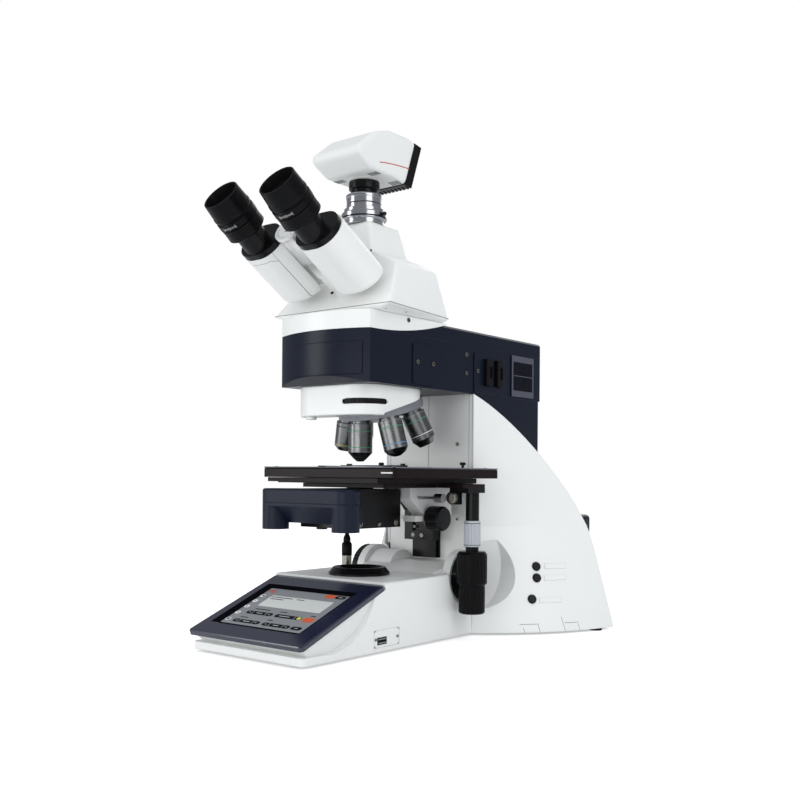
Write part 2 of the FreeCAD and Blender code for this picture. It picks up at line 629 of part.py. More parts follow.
def make_base_housing(scoops):
    body = new_body("base_block")
    solid(body, "YZ", (
        ("base_front", "foot_height"), ("base_front", "plinth_top"), ("cheek_start", "plinth_top"), CHEEK,
        (BEZEL_HEEL_Y, BEZEL_HEEL_Z), (BEZEL_DECK_Y, "deck_top"), ("column_rear", "deck_top"),
        ("column_rear", "foot_height")), "-base_half", "base_half")
    for low, high in (("column_half", "base_half + 1"), ("-base_half - 1", "-column_half")):
        hollow(body, "YZ", rectangle("wing_start", "column_rear + 1", "0", "deck_top + 1"), low, high)
    soften(body, "Fillet", "edge_soft * 2", edges_along(Z, lambda middle: middle.y < value("base_front + 1")))
    half = value("base_half")
    soften(body, "Fillet", "edge_soft", edges_along(
        Y, lambda middle: abs(middle.z - value("deck_top")) < 0.1 and abs(abs(middle.x) - half) < 0.1))
    hollow(body, "YZ", rectangle("usb_front + fit", "usb_rear - fit", "usb_low + fit", "usb_high - fit"),
           "base_half - 1", "base_half + 1")
    dished = body
    for number, scoop in enumerate(scoops):
        dished = boolean("Cut", "base_dished_%d" % number, dished, scoop)
    for side in ("right", "left"):
        hub = new_body("hub_" + side)
        solid_round(hub, "XY", (("0", "0", "hub_radius"),), "0", "hub_outer - hub_inner")
        if side == "right":
            place(hub, "hub_inner", "wheel_y", "wheel_z", facing=X)
        else:
            place(hub, "-hub_inner", "wheel_y", "wheel_z", facing=-X)
        dished = boolean("Fuse", "base_hub_" + side, dished, hub)
    shaft_bore = doc.addObject("Part::Cylinder", "shaft_bore")
    bind(shaft_bore, "Radius", "wheel_shaft + gap")
    bind(shaft_bore, "Height", "2 * base_half")
    place(shaft_bore, "-base_half", "wheel_y", "wheel_z", facing=X)
    bored = boolean("Cut", "base_bored", dished, shaft_bore)
    return boolean("Cut", "base_housing", bored, make_socket_space())


def make_socket_space():
    cutter = doc.addObject("Part::Box", "socket_space")
    bind(cutter, "Length", "usb_socket_deep + 2")
    bind(cutter, "Width", "usb_socket_wide")
    bind(cutter, "Height", "usb_socket_tall")
    place(cutter, "base_half - usb_socket_deep", "usb_socket_y - usb_socket_wide / 2",
          "usb_socket_z - usb_socket_tall / 2")
    return cutter


def make_console_housing():
    body = new_body("console_housing")
    solid(body, "YZ", (
        ("console_toe", "plinth_top"), ("cheek_start", "plinth_top"), CHEEK,
        ("console_front", frame_underside("console_front"))),
        "console_inset - bezel_rear_half", "bezel_rear_half - console_inset")
    half = "(bezel_rear_half - console_inset)"
    reach = BIG / 2
    foot = "(display_low - bezel_thick / cos(display_tilt))"
    top = "(%s * cos(display_tilt) - (display_front - %s) * sin(display_tilt))" % (foot, reach)
    for sign in ("", "-"):
        sketch = sketch_on(body, "XZ", "-%s" % reach, "display_tilt")
        draw(sketch, (
            (sign + half, top), ("%s(%s - console_lean)" % (sign, half), top + " - console_depth"),
            ("%s(%s + console_lean)" % (sign, half), top + " - console_depth"),
            ("%s(%s + console_lean)" % (sign, half), top)))
        checked_cut(body, "Pocket", sketch, "0", str(BIG), "XZ")
    return body


def make_display_bezel():
    body = new_body("display_bezel")
    solid(body, "XY", (
        ("-bezel_front_half", "0"), ("bezel_front_half", "0"),
        ("bezel_rear_half", "bezel_length"), ("-bezel_rear_half", "bezel_length")), "-bezel_thick", "0")
    soften(body, "Fillet", "bezel_corner", edges_along(Z))
    soften(body, "Chamfer", "bezel_bevel", edges_at_height("0"))
    hollow(body, "XY", rectangle("-screen_half", "screen_half", "screen_low", "screen_high"),
           "-screen_thick - screen_sunk", "1")
    return place(body, "0", "display_front", "display_low", turn=(X, "display_tilt"))


def make_touch_screen():
    body = new_body("touch_screen")
    solid(body, "XY", rectangle("fit - screen_half", "screen_half - fit", "screen_low + fit", "screen_high - fit"),
          "-screen_thick - screen_sunk", "-screen_sunk")
    return place(body, "0", "display_front", "display_low", turn=(X, "display_tilt"))


def make_light_port_ring():
    body = new_body("light_port_ring")
    turned(body, (("ring_bore", "0"), ("ring_radius", "0"), ("ring_radius", "ring_rise * 0.25"),
                  ("ring_top_radius", "ring_rise"), ("ring_top_radius - 2.5", "ring_rise"),
                  ("ring_bore", "ring_rise * 0.45")))
    return place(body, "0", "0", "deck_top")


def make_deck_cover():
    body = new_body("deck_cover_slope")
    solid(body, "YZ", (("deck_cover_front", "deck_top"), ("deck_cover_knee", "deck_cover_top"),
                       ("column_front", "deck_cover_top"), ("column_front", "deck_top")),
          "deck_cover_left", "hub_inner")
    bulge = new_body("gear_bulge_round")
    solid(bulge, "YZ", (
        ("wheel_y + gear_bulge * cos(12)", "deck_top"),
        ("wheel_y - gear_bulge * cos(12)", "deck_top", "wheel_y", "wheel_z + gear_bulge")),
        "-hub_inner", "gear_bulge_end")
    joined = boolean("Fuse", "deck_cover_whole", body, bulge)
    behind = doc.addObject("Part::Box", "behind_column_front")
    bind(behind, "Length", "2 * base_half")
    bind(behind, "Width", "gear_bulge")
    bind(behind, "Height", "2 * gear_bulge")
    place(behind, "-base_half", "column_front", "deck_top - 1")
    return boolean("Cut", "deck_cover", joined, behind)


def make_stand_casting():
    body = new_body("stand_casting")
    solid(body, "XY", rectangle("fit - cover_seam", "cover_seam - fit", "column_front + cover_wall", "casting_rear"),
          "deck_top", "arm_bottom")
    hollow(body, "XY", rectangle("-duct_half", "duct_half", "duct_front", "duct_rear"), "deck_top - 1", "arm_bottom + 1")
    return body


def make_column_covers():
    halves = []
    for label, left, right in (("column_cover_right", "fit", "cover_seam"), ("column_cover_left", "-cover_seam", "-fit")):
        body = new_body(label)
        solid(body, "XY", rectangle(left, right, "column_front", "column_front + cover_wall"), "deck_top", "arm_bottom")
        halves.append(body)
    return group("column_covers", halves)


def make_rear_housing():
    body = new_body("rear_housing")
    solid(body, "XY", rectangle("-column_half", "column_half", "column_front + cover_wall", "column_rear"),
          "deck_top", "arm_bottom")
    hollow(body, "XY", rectangle("-cover_seam", "cover_seam", "column_front", "casting_rear"),
           "deck_top - 1", "arm_bottom + 1")
    soften(body, "Fillet", "edge_soft * 2", edges_along(Z, lambda middle: middle.y > value("column_rear - 1")))
    for low, high in (("hub_inner - fit", "column_half + 1"), ("-column_half - 1", "fit - hub_inner")):
        hollow_round(body, "YZ", (("wheel_y", "wheel_z", "hub_radius + fit"),), low, high)
    return body


def wing_outline(front_x, front_y, rear_x, bulge):
    """One level outline of a wing: inner wall, front edge, outer arc, rear wall."""
    inner = "column_half + wing_seam"
    run_x = "((%s) - (%s))" % (rear_x, front_x)
    run_y = "(wing_rear - (%s))" % front_y
    length = "sqrt(%s ^ 2 + %s ^ 2)" % (run_x, run_y)
    return ((inner, front_y), (front_x, front_y),
            (rear_x, "wing_rear",
             "((%s) + (%s)) / 2 + (%s) * %s / %s" % (front_x, rear_x, bulge, run_y, length),
             "((%s) + wing_rear) / 2 - (%s) * %s / %s" % (front_y, bulge, run_x, length)),
            (inner, "wing_rear"))


def make_wing(scoop):
    edge_x = "column_half + wing_seam + wing_edge"
    body = new_body("wing_form")
    lofted(body, (
        ("foot_height", wing_outline("base_half", "wing_start", "wing_foot_x", "wing_foot_bulge")),
        ("wing_mid_z", wing_outline(edge_x, "column_front", "wing_mid_x", "wing_mid_bulge")),
        ("arm_bottom - gap", wing_outline(edge_x, "column_front", "wing_top_x", "wing_top_bulge"))))
    arc_y = "(wing_rear - wing_arc)"
    top_y = "column_front"
    top_z = "(wing_arc_z + sqrt(wing_arc ^ 2 - (column_front - %s) ^ 2))" % arc_y
    profile = new_body("wing_profile")
    solid(profile, "YZ", (
        ("wing_start - 1", "0"), ("wing_rear", "0"), ("wing_rear", "wing_arc_z"),
        (top_y, top_z, "%s + wing_arc * cos(35)" % arc_y, "wing_arc_z + wing_arc * sin(35)"),
        ("wing_start - 1", top_z)), "column_half", "wing_foot_x + 40")
    shaped = boolean("Common", "wing_shaped", body, profile)
    dished = boolean("Cut", "wing_dished", shaped, scoop)
    strip = new_body("wing_front_strip")
    solid(strip, "XY", rectangle("cover_seam + fit", "column_half + wing_seam", "column_front",
                                 "column_front + cover_wall - fit"),
          "wheel_z + hub_radius + 1", "arm_bottom - gap")
    return boolean("Fuse", "wing_right", dished, strip)


def make_lamp_housing():
    body = new_body("lamp_housing")
    solid(body, "XZ", rectangle("-lamp_half", "lamp_half", "lamp_bottom", "lamp_top"), "column_rear", "lamp_rear")
    soften(body, "Fillet", "edge_soft * 3", edges_along(Y))
    soften(body, "Fillet", "edge_soft", lambda edge: edge.BoundBox.YMin > value("lamp_rear") - 1e-4)
    for number in range(6):
        y = "column_rear + 30 + %d * 14" % number
        hollow(body, "XY", rectangle("-lamp_half * 0.6", "lamp_half * 0.6", y, y + " + 6"), "lamp_top - 4", "lamp_top + 1")
    return body


def make_feet():
    spots = (("base_half - 16", "base_front + 16"), ("base_half - 16", "wing_start - 40"),
             ("wing_foot_x - 12", "wing_rear - 20"), ("column_half - 20", "column_rear - 20"))
    feet = []
    for number, (x, y) in enumerate(spots):
        for sign in ("", "-"):
            body = new_body("foot_%d%s" % (number, "_left" if sign else ""))
            solid_round(body, "XY", (("%s(%s)" % (sign, x), y, "foot_radius"),), "0", "foot_height")
            feet.append(body)
    return group("feet", feet)


def make_usb_panel():
    body = new_body("usb_panel")
    solid(body, "YZ", rectangle("usb_front + 2 * fit", "usb_rear - 2 * fit", "usb_low + 2 * fit", "usb_high - 2 * fit"),
          "base_half - 1", "base_half - 1 + usb_plate")
    soften(body, "Fillet", "5", edges_along(X))
    hollow(body, "YZ", rectangle("usb_socket_y - usb_socket_wide / 2", "usb_socket_y + usb_socket_wide / 2",
                                 "usb_socket_z - usb_socket_tall / 2", "usb_socket_z + usb_socket_tall / 2"),
           "base_half - 2", "base_half + 1")
    return body


# Arm

def make_arm_housing():
    body = new_body("arm_housing")
    solid(body, "XY", (("-column_half", "column_rear"), ("column_half", "column_rear"),
                       ("column_half", "arm_front"),
                       ("-column_half", "arm_front", "0", "arm_nose")), "arm_bottom", "arm_top")
    slope = "(arm_chin - arm_bottom) / (arm_front - arm_nose)"
    hollow(body, "YZ", (("arm_front + 9", "arm_bottom - 9 * %s" % slope),
                        ("arm_nose - 9", "arm_chin + 9 * %s" % slope), ("arm_nose - 9", "arm_bottom - 9 * %s" % slope)),
           "-column_half - 5", "column_half + 5")
    hollow(body, "XY", front_cover_outline("fit", "front_cover_thick", "5"), "arm_chin + gap", "front_cover_top + fit")
    for number in range(2):
        middle = "slider_one + %d * slider_pitch" % number
        hollow(body, "YZ", rectangle("%s - slider_wide / 2 - gap" % middle, "%s + slider_wide / 2 + gap" % middle,
                                     "slider_low - gap", "slider_high + gap"), "slider_inner - 1", "column_half + 1")
    hollow(body, "YZ", rectangle("vent_front + 4", "vent_rear - 4", "vent_low + 4", "vent_high - 4"),
           "column_half - vent_deep", "column_half + 1")
    return body


def front_cover_outline(side, back, front):
    """A band along the arm's curved front, from a depth behind the curve to a height in front of it."""
    radius = "((column_half ^ 2 + (arm_front - arm_nose) ^ 2) / (2 * (arm_front - arm_nose)))"
    half = "(front_cover_half + %s)" % side
    drop = "(arm_nose + %s - sqrt(%s ^ 2 - %s ^ 2))" % (radius, radius, half)
    return ((half, drop + " + " + back, "0", "arm_nose + " + back), (half, drop + " - " + front),
            ("-" + half, drop + " - " + front, "0", "arm_nose - " + front), ("-" + half, drop + " + " + back))


def make_arm_front_cover():
    body = new_body("arm_front_cover")
    solid(body, "XY", front_cover_outline("0", "front_cover_thick", "front_cover_proud"),
          "arm_chin + gap + fit", "front_cover_top")
    return body


def make_arm_top_cover():
    body = new_body("arm_top_cover")
    solid(body, "YZ", (("neck_flat", "arm_top"),
                       ("neck_step", "top_cover_top", "neck_curve_y", "neck_curve_z"),
                       ("column_rear", "top_cover_top"), ("column_rear", "arm_top")), "-column_half", "column_half")
    soften(body, "Chamfer", "edge_soft", edges_along(Y, lambda middle: middle.z > value("top_cover_top - 1")))
    return body


def make_arm_neck():
    body = new_body("arm_neck")
    solid(body, "XY", (("-column_half", "neck_rear"), ("column_half", "neck_rear"), ("column_half", "arm_front"),
                       ("-column_half", "arm_front", "0", "arm_nose")), "arm_top", "neck_top")
    hollow(body, "YZ", (("neck_flat", "arm_top"), ("neck_step", "top_cover_top", "neck_curve_y", "neck_curve_z"),
                        ("neck_rear + 1", "top_cover_top + (neck_rear + 1 - neck_step)"),
                        ("neck_rear + 1", "arm_top - 1"), ("neck_flat", "arm_top - 1")),
           "-column_half - 1", "column_half + 1")
    return body


def side_panel(label, front, rear, low, high, thick="panel_thick"):
    """A flat plate on the arm's right side."""
    body = new_body(label)
    solid(body, "YZ", rectangle(front, rear, low, high), "column_half", "column_half + %s" % thick)
    soften(body, "Fillet", "3", edges_along(X))
    return body


def make_slider_frame():
    body = side_panel("slider_frame", "slider_frame_front", "slider_frame_rear", "slider_low - 9", "slider_high + 6")
    for number in range(2):
        middle = "slider_one + %d * slider_pitch" % number
        hollow(body, "YZ", rectangle("%s - slider_wide / 2 - gap" % middle, "%s + slider_wide / 2 + gap" % middle,
                                     "slider_low - gap", "slider_high + gap"), "column_half - 1", "column_half + 3")
    return body


def make_filter_slider(label, number):
    body = new_body(label)
    middle = "slider_one + %d * slider_pitch" % number
    solid(body, "YZ", rectangle("%s - slider_wide / 2" % middle, "%s + slider_wide / 2" % middle,
                                "slider_low", "slider_high"), "slider_inner", "slider_handle")
    soften(body, "Fillet", "1.5", edges_along(Z, lambda place_of: place_of.x > value("slider_handle - 1")))
    hollow(body, "YZ", rectangle("%s - slider_wide * 0.3" % middle, "%s + slider_wide * 0.3" % middle,
                                 "slider_low + 8", "slider_high - 8"), "slider_handle - 1.6", "slider_handle + 1")
    return body


def make_vent_grille():
    body = side_panel("vent_grille", "vent_front", "vent_rear", "vent_low", "vent_high")
    sketch = sketch_on(body, "YZ", "column_half - 1")
    low = "vent_low + 7"
    for left, right in (("vent_front + 6", "(vent_front + vent_rear) / 2 - 1.5"),
                        ("(vent_front + vent_rear) / 2 + 1.5", "vent_rear - 6")):
        draw(sketch, rectangle(left, right, low, low + " + vent_slot"))
    slots = checked_cut(body, "Pocket", sketch, "0", "panel_thick + 2", "YZ")
    in_row(body, slots, "Z_Axis", "vent_pitch", "vent_count")
    return body


def make_casing_screws():
    """Screw heads on the column's front, on the right of arm and neck, and on the socket panel."""
    heads = []
    spots = [(sign + "40", "column_front", z, -Y) for sign in ("", "-") for z in ("205", "122")]
    spots += [("column_half + panel_thick", y, "285", X)
              for y in ("port_front + 7", "port_rear - 6", "slider_frame_front + 6", "slider_frame_rear - 6")]
    spots += [("column_half", "104", "301", X), ("column_half", "104", "281", X)]
    spots += [("column_half", "3", "325.5", X)]
    spots += [("base_half - 1 + usb_plate", y, "usb_low + 8.1", X) for y in ("usb_front + 2.4", "usb_rear - 3.2")]
    for number, (x, y, z, facing) in enumerate(spots):
        body = new_body("screw_%d" % number)
        solid_round(body, "XY", (("0", "0", "screw_radius" if number < 11 else "screw_radius * 0.6"),),
                    "0", "screw_head")
        heads.append(place(body, x, y, z, facing=facing))
    return group("casing_screws", heads)


def make_nosepiece_housing():
    body = new_body("nosepiece_block")
    flat = "housing_half - housing_corner"
    bend = "housing_corner * (1 - cos(45))"
    solid(body, "XY", (
        ("-housing_half", "housing_rear"), ("-housing_half", "housing_front + housing_corner"),
        ("-(%s)" % flat, "housing_front", "-housing_half + " + bend, "housing_front + " + bend),
        (flat, "housing_front"),
        ("housing_half", "housing_front + housing_corner", "housing_half - " + bend, "housing_front + " + bend),
        ("housing_half", "housing_rear")), "housing_bottom", "arm_bottom")
    top_y = "(turret_reach * cos(turret_tilt) * sin(turret_tilt))"
    top_z = "(shoulder + turret_reach * (1 - cos(turret_tilt) ^ 2) + (turret_rise + gap) / cos(turret_tilt))"
    front = "(%s + (housing_step - %s) * tan(turret_tilt))" % (top_z, top_y)
    rear = "(%s + (housing_rear + 1 - %s) * tan(turret_tilt))" % (top_z, top_y)
    hollow(body, "YZ", (("housing_step", front), ("housing_rear + 1", rear), ("housing_rear + 1", "housing_bottom - 1"),
                        ("housing_step", "housing_bottom - 1")), "-housing_half - 1", "housing_half + 1")
    hollow_round(body, "XY", ((flat, "housing_front + housing_corner", "housing_corner + gap"),),
                 "thumbwheel_low - gap", "thumbwheel_low + thumbwheel_thick + gap")
    body.Label = "nosepiece_housing"
    return body


def make_prism_thumbwheel():
    body = new_body("prism_thumbwheel")
    solid_round(body, "XY", (("0", "0", "thumbwheel_radius"),), "0", "thumbwheel_thick")
    sketch = sketch_on(body, "XY")
    draw_circle(sketch, "thumbwheel_radius + 0.4", "0", "1.2")
    groove = checked_cut(body, "Pocket", sketch, "0", "thumbwheel_thick", "XY")
    around(body, groove, "36")
    return place(body, "housing_half - housing_corner", "housing_front + housing_corner", "thumbwheel_low")


TURRET_Y = "(turret_reach * cos(turret_tilt) * sin(turret_tilt))"
TURRET_Z = "(shoulder + turret_reach * (1 - cos(turret_tilt) ^ 2))"
SEAT_CIRCLE = "(turret_reach * sin(turret_tilt))"


def make_nosepiece_turret():
    body = new_body("nosepiece_turret")
    lip = "(turret_radius - %s) * tan(turret_tilt)" % SEAT_CIRCLE
    hub = "(14 - %s) * tan(turret_tilt)" % SEAT_CIRCLE
    turned(body, (("0", "turret_rise"), ("turret_radius", "turret_rise"), ("turret_radius", lip),
                  ("14", hub), ("0", hub)))
    return place(body, "0", TURRET_Y, TURRET_Z, turn=(X, "turret_tilt"))


def on_turret(thing, number):
    """Put an objective, drawn along its own Z, on one of the turret's places. Place 0 is in use."""
    centre = V(0, value(TURRET_Y), value(TURRET_Z))
    axis = FreeCAD.Rotation(X, value("turret_tilt")).multVec(Z)
    step = 360.0 / value("turret_places")
    in_use = FreeCAD.Placement(V(0, 0, value("shoulder")), FreeCAD.Rotation(X, 180))
    thing.Placement = FreeCAD.Placement(V(), FreeCAD.Rotation(axis, step * number), centre) * in_use
    return thing


def make_objective(label, length, nose_length, nose_radius, tip_length, tip_radius):
    """An objective: collar, barrel, tapered nose and front mount."""
    body = new_body(label)
    turned(body, (
        ("0", "0"), ("objective_collar", "0"), ("objective_collar", "2.2"), ("objective_radius", "2.6"),
        ("objective_radius", "%s - %s - %s" % (length, nose_length, tip_length)),
        (nose_radius, "%s - %s" % (length, tip_length)), (tip_radius, length), ("0", length)))
    return body


def make_objectives():
    high = make_objective("objective_in_use", 41, 4.5, 8.2, 4.5, 3.4)
    right_one = make_objective("objective_right", 40, 4, 9.5, 3.2, 3.6)
    right_two = make_objective("objective_right_rear", 38.5, 1, 11.2, 6, 7.5)
    left_one = make_objective("objective_left", 32.5, 1.5, 11.6, 3, 9)
    left_two = make_objective("objective_left_rear", 30, 1.5, 11.6, 3, 9)
    plugs = []
    for number in range(2):
        plug = new_body("dust_plug_%d" % number)
        turned(plug, (("0", "0"), ("objective_collar", "0"), ("objective_collar", "2.6"), ("9.6", "3.4"), ("0", "3.4")))
        plugs.append(plug)
    members = (high, left_one, left_two, plugs[0], plugs[1], right_two, right_one)
    turn = -1 if place_is_right(high) else 1
    return group("objectives", [on_turret(member, turn * number) for number, member in enumerate(members)])


def place_is_right(probe):
    """True where the first turret place after the one in use lies on the right."""
    on_turret(probe, 1)
    return probe.Placement.Base.x > 0


# Head and eyepieces

def head_outline(half_front, front, half_rear, rear):
    return (("-(%s)" % half_front, front), (half_front, front), (half_rear, rear), ("-(%s)" % half_rear, rear))


def in_tube_frame(thing, x="0"):
    """Put an object on a tube axis, its own Z axis running up towards the eye."""
    return place(thing, x, "tube_y", "tube_z", turn=(X, "90 - tube_rise"))


def make_head_body():
    lower = new_body("head_lower")
    lofted(lower, (
        ("neck_top", head_outline("column_half + 1", "head_front + 4", "head_rear_half - 3", "head_rear - 8")),
        ("flange_z", head_outline("head_front_half", "head_front", "head_rear_half", "head_rear")),
        ("brow_z", head_outline("brow_front_half", "brow_front", "brow_rear_half", "brow_rear")),
        ("crown_z - 6", head_outline("crown_half + 14", "brow_front", "crown_half + 12", "brow_rear - 5")),
        ("crown_z", head_outline("crown_half", "crown_front", "crown_half - 2", "crown_rear")),
        ("head_top", head_outline("top_half", "top_front", "top_half - 3", "top_rear"))))
    web = new_body("head_bridge")
    solid(web, "XY", rectangle("-bridge_half", "bridge_half", "bridge_low", "bridge_high"), "-bridge_step", "-1")
    solid(web, "XY", rectangle("-bridge_foot_half", "bridge_foot_half", "bridge_low + 1", "bridge_high"),
          "-tube_length - 12", "-bridge_step + 1")
    solid(web, "XY", rectangle("-bridge_post", "bridge_post", "bridge_low", "bridge_high"), "-2", "collar_thick")
    in_housing_frame(web)
    joined = boolean("Fuse", "head_joined", lower, web)
    floor = doc.addObject("Part::Box", "below_head")
    for name, size in (("Length", "2 * head_front_half"), ("Width", "2 * head_front_half"), ("Height", "50")):
        bind(floor, name, size)
    place(floor, "-head_front_half", "-2 * head_front_half", "neck_top - 50")
    return boolean("Cut", "head_body", joined, floor)


def in_housing_frame(thing, x="0"):
    """Put an object where a tube meets its collar, its own Z axis along the tube housings."""
    return place(thing, x, "tube_y - tube_length * cos(tube_rise)", "tube_z + tube_length * sin(tube_rise)",
                 turn=(X, "90 - housing_rise"))


def make_tube_housing(label, x):
    """A rounded housing with a slanted foot and a pocket that slides over the bridge."""
    body = new_body(label)
    solid(body, "XY", rectangle("-tube_wide", "tube_wide", "tube_low", "tube_high"), "-tube_foot - 30", "0")
    soften(body, "Fillet", "tube_soft", edges_along(Z))
    low, high = (("-tube_foot - (%s) * tan(tube_foot_tilt)" % across) for across in ("tube_low - 5", "tube_high + 5"))
    hollow(body, "YZ", (("tube_low - 5", low), ("tube_high + 5", high), ("tube_high + 5", "-tube_foot - 50"),
                        ("tube_low - 5", "-tube_foot - 50")), "-tube_wide - 1", "tube_wide + 1")
    soften(body, "Fillet", "5", lambda edge: edge.BoundBox.ZMax < -value("tube_foot") / 2)
    inner = "-" if x == "eye_half" else ""
    pocket = "(eye_half - bridge_half - eye_travel - gap)"
    side = ("-tube_wide - 1", "-" + pocket) if inner else (pocket, "tube_wide + 1")
    hollow(body, "XY", rectangle(side[0], side[1], "bridge_low - gap", "bridge_high + gap"), "-tube_foot - 50", "1")
    return in_housing_frame(body, x)


def make_eyetube(label, x):
    """A black collar on the housing and the sleeve that rises from it."""
    collar = new_body(label + "_collar")
    solid(collar, "XY", rectangle("0.9 - tube_wide", "tube_wide - 0.9", "tube_low + 0.3", "tube_high - 2"),
          "0", "collar_thick")
    soften(collar, "Fillet", "collar_cut", edges_along(Z))
    in_housing_frame(collar, x)
    sleeve = new_body(label + "_sleeve")
    solid_round(sleeve, "XY", (("0", "0", "sleeve_radius"),), "tube_length + 2", "sleeve_end")
    in_tube_frame(sleeve, x)
    bore = doc.addObject("Part::Cylinder", label + "_bore")
    bind(bore, "Radius", "sleeve_bore")
    bind(bore, "Height", "sleeve_end - tube_length")
    place(bore, x, "tube_y - (tube_length + 8) * cos(tube_rise)", "tube_z + (tube_length + 8) * sin(tube_rise)",
          turn=(X, "90 - tube_rise"))
    return boolean("Cut", label, boolean("Fuse", label + "_joined", collar, sleeve), bore)


def make_eyepiece(label, x):
    body = new_body(label)
    turned(body, (
        ("0", "tube_length + 12"), ("sleeve_bore - gap", "tube_length + 12"), ("sleeve_bore - gap", "sleeve_end + gap"),
        ("eyepiece_radius - 1.8", "sleeve_end + gap"), ("eyepiece_radius - 0.5", "sleeve_end + 2"),
        ("eyepiece_radius - 0.5", "sleeve_end + 13"), ("eyepiece_radius - 1.6", "sleeve_end + 14"),
        ("eyepiece_radius", "sleeve_end + 15"), ("eyepiece_radius", "sleeve_end + 21"),
        ("eyepiece_radius - 1.2", "sleeve_end + 22"), ("eyepiece_radius - 0.4", "sleeve_end + 24"),
        ("eyecup_radius", "eyepiece_end"), ("eyecup_radius - 1.4", "eyepiece_end"),
        ("eyecup_radius - 3.4", "eyepiece_end - 10"), ("eyecup_radius - 6", "eyepiece_end - 12"),
        ("0", "eyepiece_end - 12")))
    return in_tube_frame(body, x)


def make_ipd_dial():
    body = new_body("ipd_dial")
    solid_round(body, "XY", (("0", "bridge_high - 3", "dial_radius"),), "collar_thick + gap",
                "collar_thick + gap + dial_thick")
    return in_housing_frame(body)


def ring_stack(label, y, profile):
    body = new_body(label)
    turned(body, profile)
    return place(body, "0", y, "0")


def make_camera_body():
    body = new_body("camera_body")
    solid(body, "YZ", (
        ("-44", "camera_floor + 12"), ("-22", "camera_floor + 0.5"), ("13", "camera_floor"),
        ("sink_foot", "camera_floor - 2.5"), ("sink_head", "camera_floor + 45"), ("38", "camera_floor + 47.5"),
        ("6", "camera_floor + 47.5"), ("-16", "camera_floor + 40.5"), ("-43.5", "camera_floor + 19")),
        "-camera_half", "camera_half")
    soften(body, "Fillet", "camera_soft", edges_along(X, lambda middle: middle.y < 0 or middle.z > value(
        "camera_floor + 46")))
    soften(body, "Fillet", "camera_soft * 0.5", lambda edge: abs(abs(edge.CenterOfMass.x) - value(
        "camera_half")) < 1e-4 and edge.CenterOfMass.y < value("sink_foot"))
    solid_round(body, "XY", (("0", "photo_y", "mount_radius - 1"),), "camera_floor - 2.5", "camera_floor + 5")
    return body


def make_camera_heat_sink():
    body = new_body("camera_heat_sink")
    solid(body, "YZ", (("sink_foot", "camera_floor - 2.5"), ("sink_foot + sink_thick", "camera_floor - 4"),
                       ("sink_head + sink_thick", "camera_floor + 43"), ("sink_head", "camera_floor + 45")),
          "2 - camera_half", "camera_half - 2")
    root = "(sink_head - sink_foot) / 47.5"
    sketch = sketch_on(body, "YZ", "4 - camera_half")
    draw(sketch, (("sink_foot + 4 - 7.5 * %s" % root, "camera_floor - 10"), ("sink_head + 40", "camera_floor - 10"),
                  ("sink_head + 40", "camera_floor + 50"), ("sink_foot + 4 + 52.5 * %s" % root, "camera_floor + 50")))
    groove = checked_cut(body, "Pocket", sketch, "0", "2.4", "YZ")
    in_row(body, groove, "X_Axis", "5", "12")
    return body


# Stage

def make_stage_top_plate():
    body = new_body("stage_top_plate")
    solid(body, "XY", rectangle("stage_left", "stage_right", "stage_front", "stage_rear"),
          "stage_top - stage_thick", "stage_top")
    soften(body, "Fillet", "stage_corner", edges_along(Z))
    soften(body, "Chamfer", "stage_chamfer", edges_at_height("stage_top"))
    hollow(body, "XY", rectangle("-window_half_x", "window_half_x", "-window_half_y", "window_half_y"),
           "stage_top - stage_thick - 1", "stage_top + 1")
    return body


SLIDE_TOP = "(stage_top - stage_thick - gap)"
BASE_PLATE_TOP = "(%s - slide_plate_thick - gap)" % SLIDE_TOP
BASE_PLATE_LOW = "(%s - base_plate_thick)" % BASE_PLATE_TOP


def make_stage_slide_plate():
    body = new_body("stage_slide_plate")
    solid(body, "XY", rectangle("slide_plate_left", "slide_plate_right", "slide_plate_front", "slide_plate_rear"),
          "%s - slide_plate_thick" % SLIDE_TOP, SLIDE_TOP)
    soften(body, "Fillet", "stage_corner * 0.5", edges_along(Z))
    solid(body, "XY", rectangle("stage_left + 0.5", "slide_plate_left + 1", "slide_plate_front + 2",
                                "slide_plate_rear - 1"), "%s - rail_strip" % SLIDE_TOP, SLIDE_TOP)
    hollow_round(body, "XY", (("0", "0", "light_hole"),), "%s - slide_plate_thick - 1" % SLIDE_TOP,
                 "%s + 1" % SLIDE_TOP)
    return body


def make_stage_base_plate():
    body = new_body("stage_base_plate")
    solid(body, "XY", (
        ("base_plate_left", "base_plate_front"), ("base_plate_right", "base_plate_front"),
        ("base_plate_right", "drive_y - 26"), ("drive_x + 8", "drive_y - 26"), ("drive_x + 8", "drive_y + 12"),
        ("base_plate_right", "drive_y + 12"), ("base_plate_right", "base_plate_rear"),
        ("base_plate_left", "base_plate_rear")), BASE_PLATE_LOW, BASE_PLATE_TOP)
    soften(body, "Fillet", "stage_corner * 0.5", edges_along(Z))
    hollow_round(body, "XY", (("0", "0", "light_hole"),), BASE_PLATE_LOW + " - 1", BASE_PLATE_TOP + " + 1")
    return body


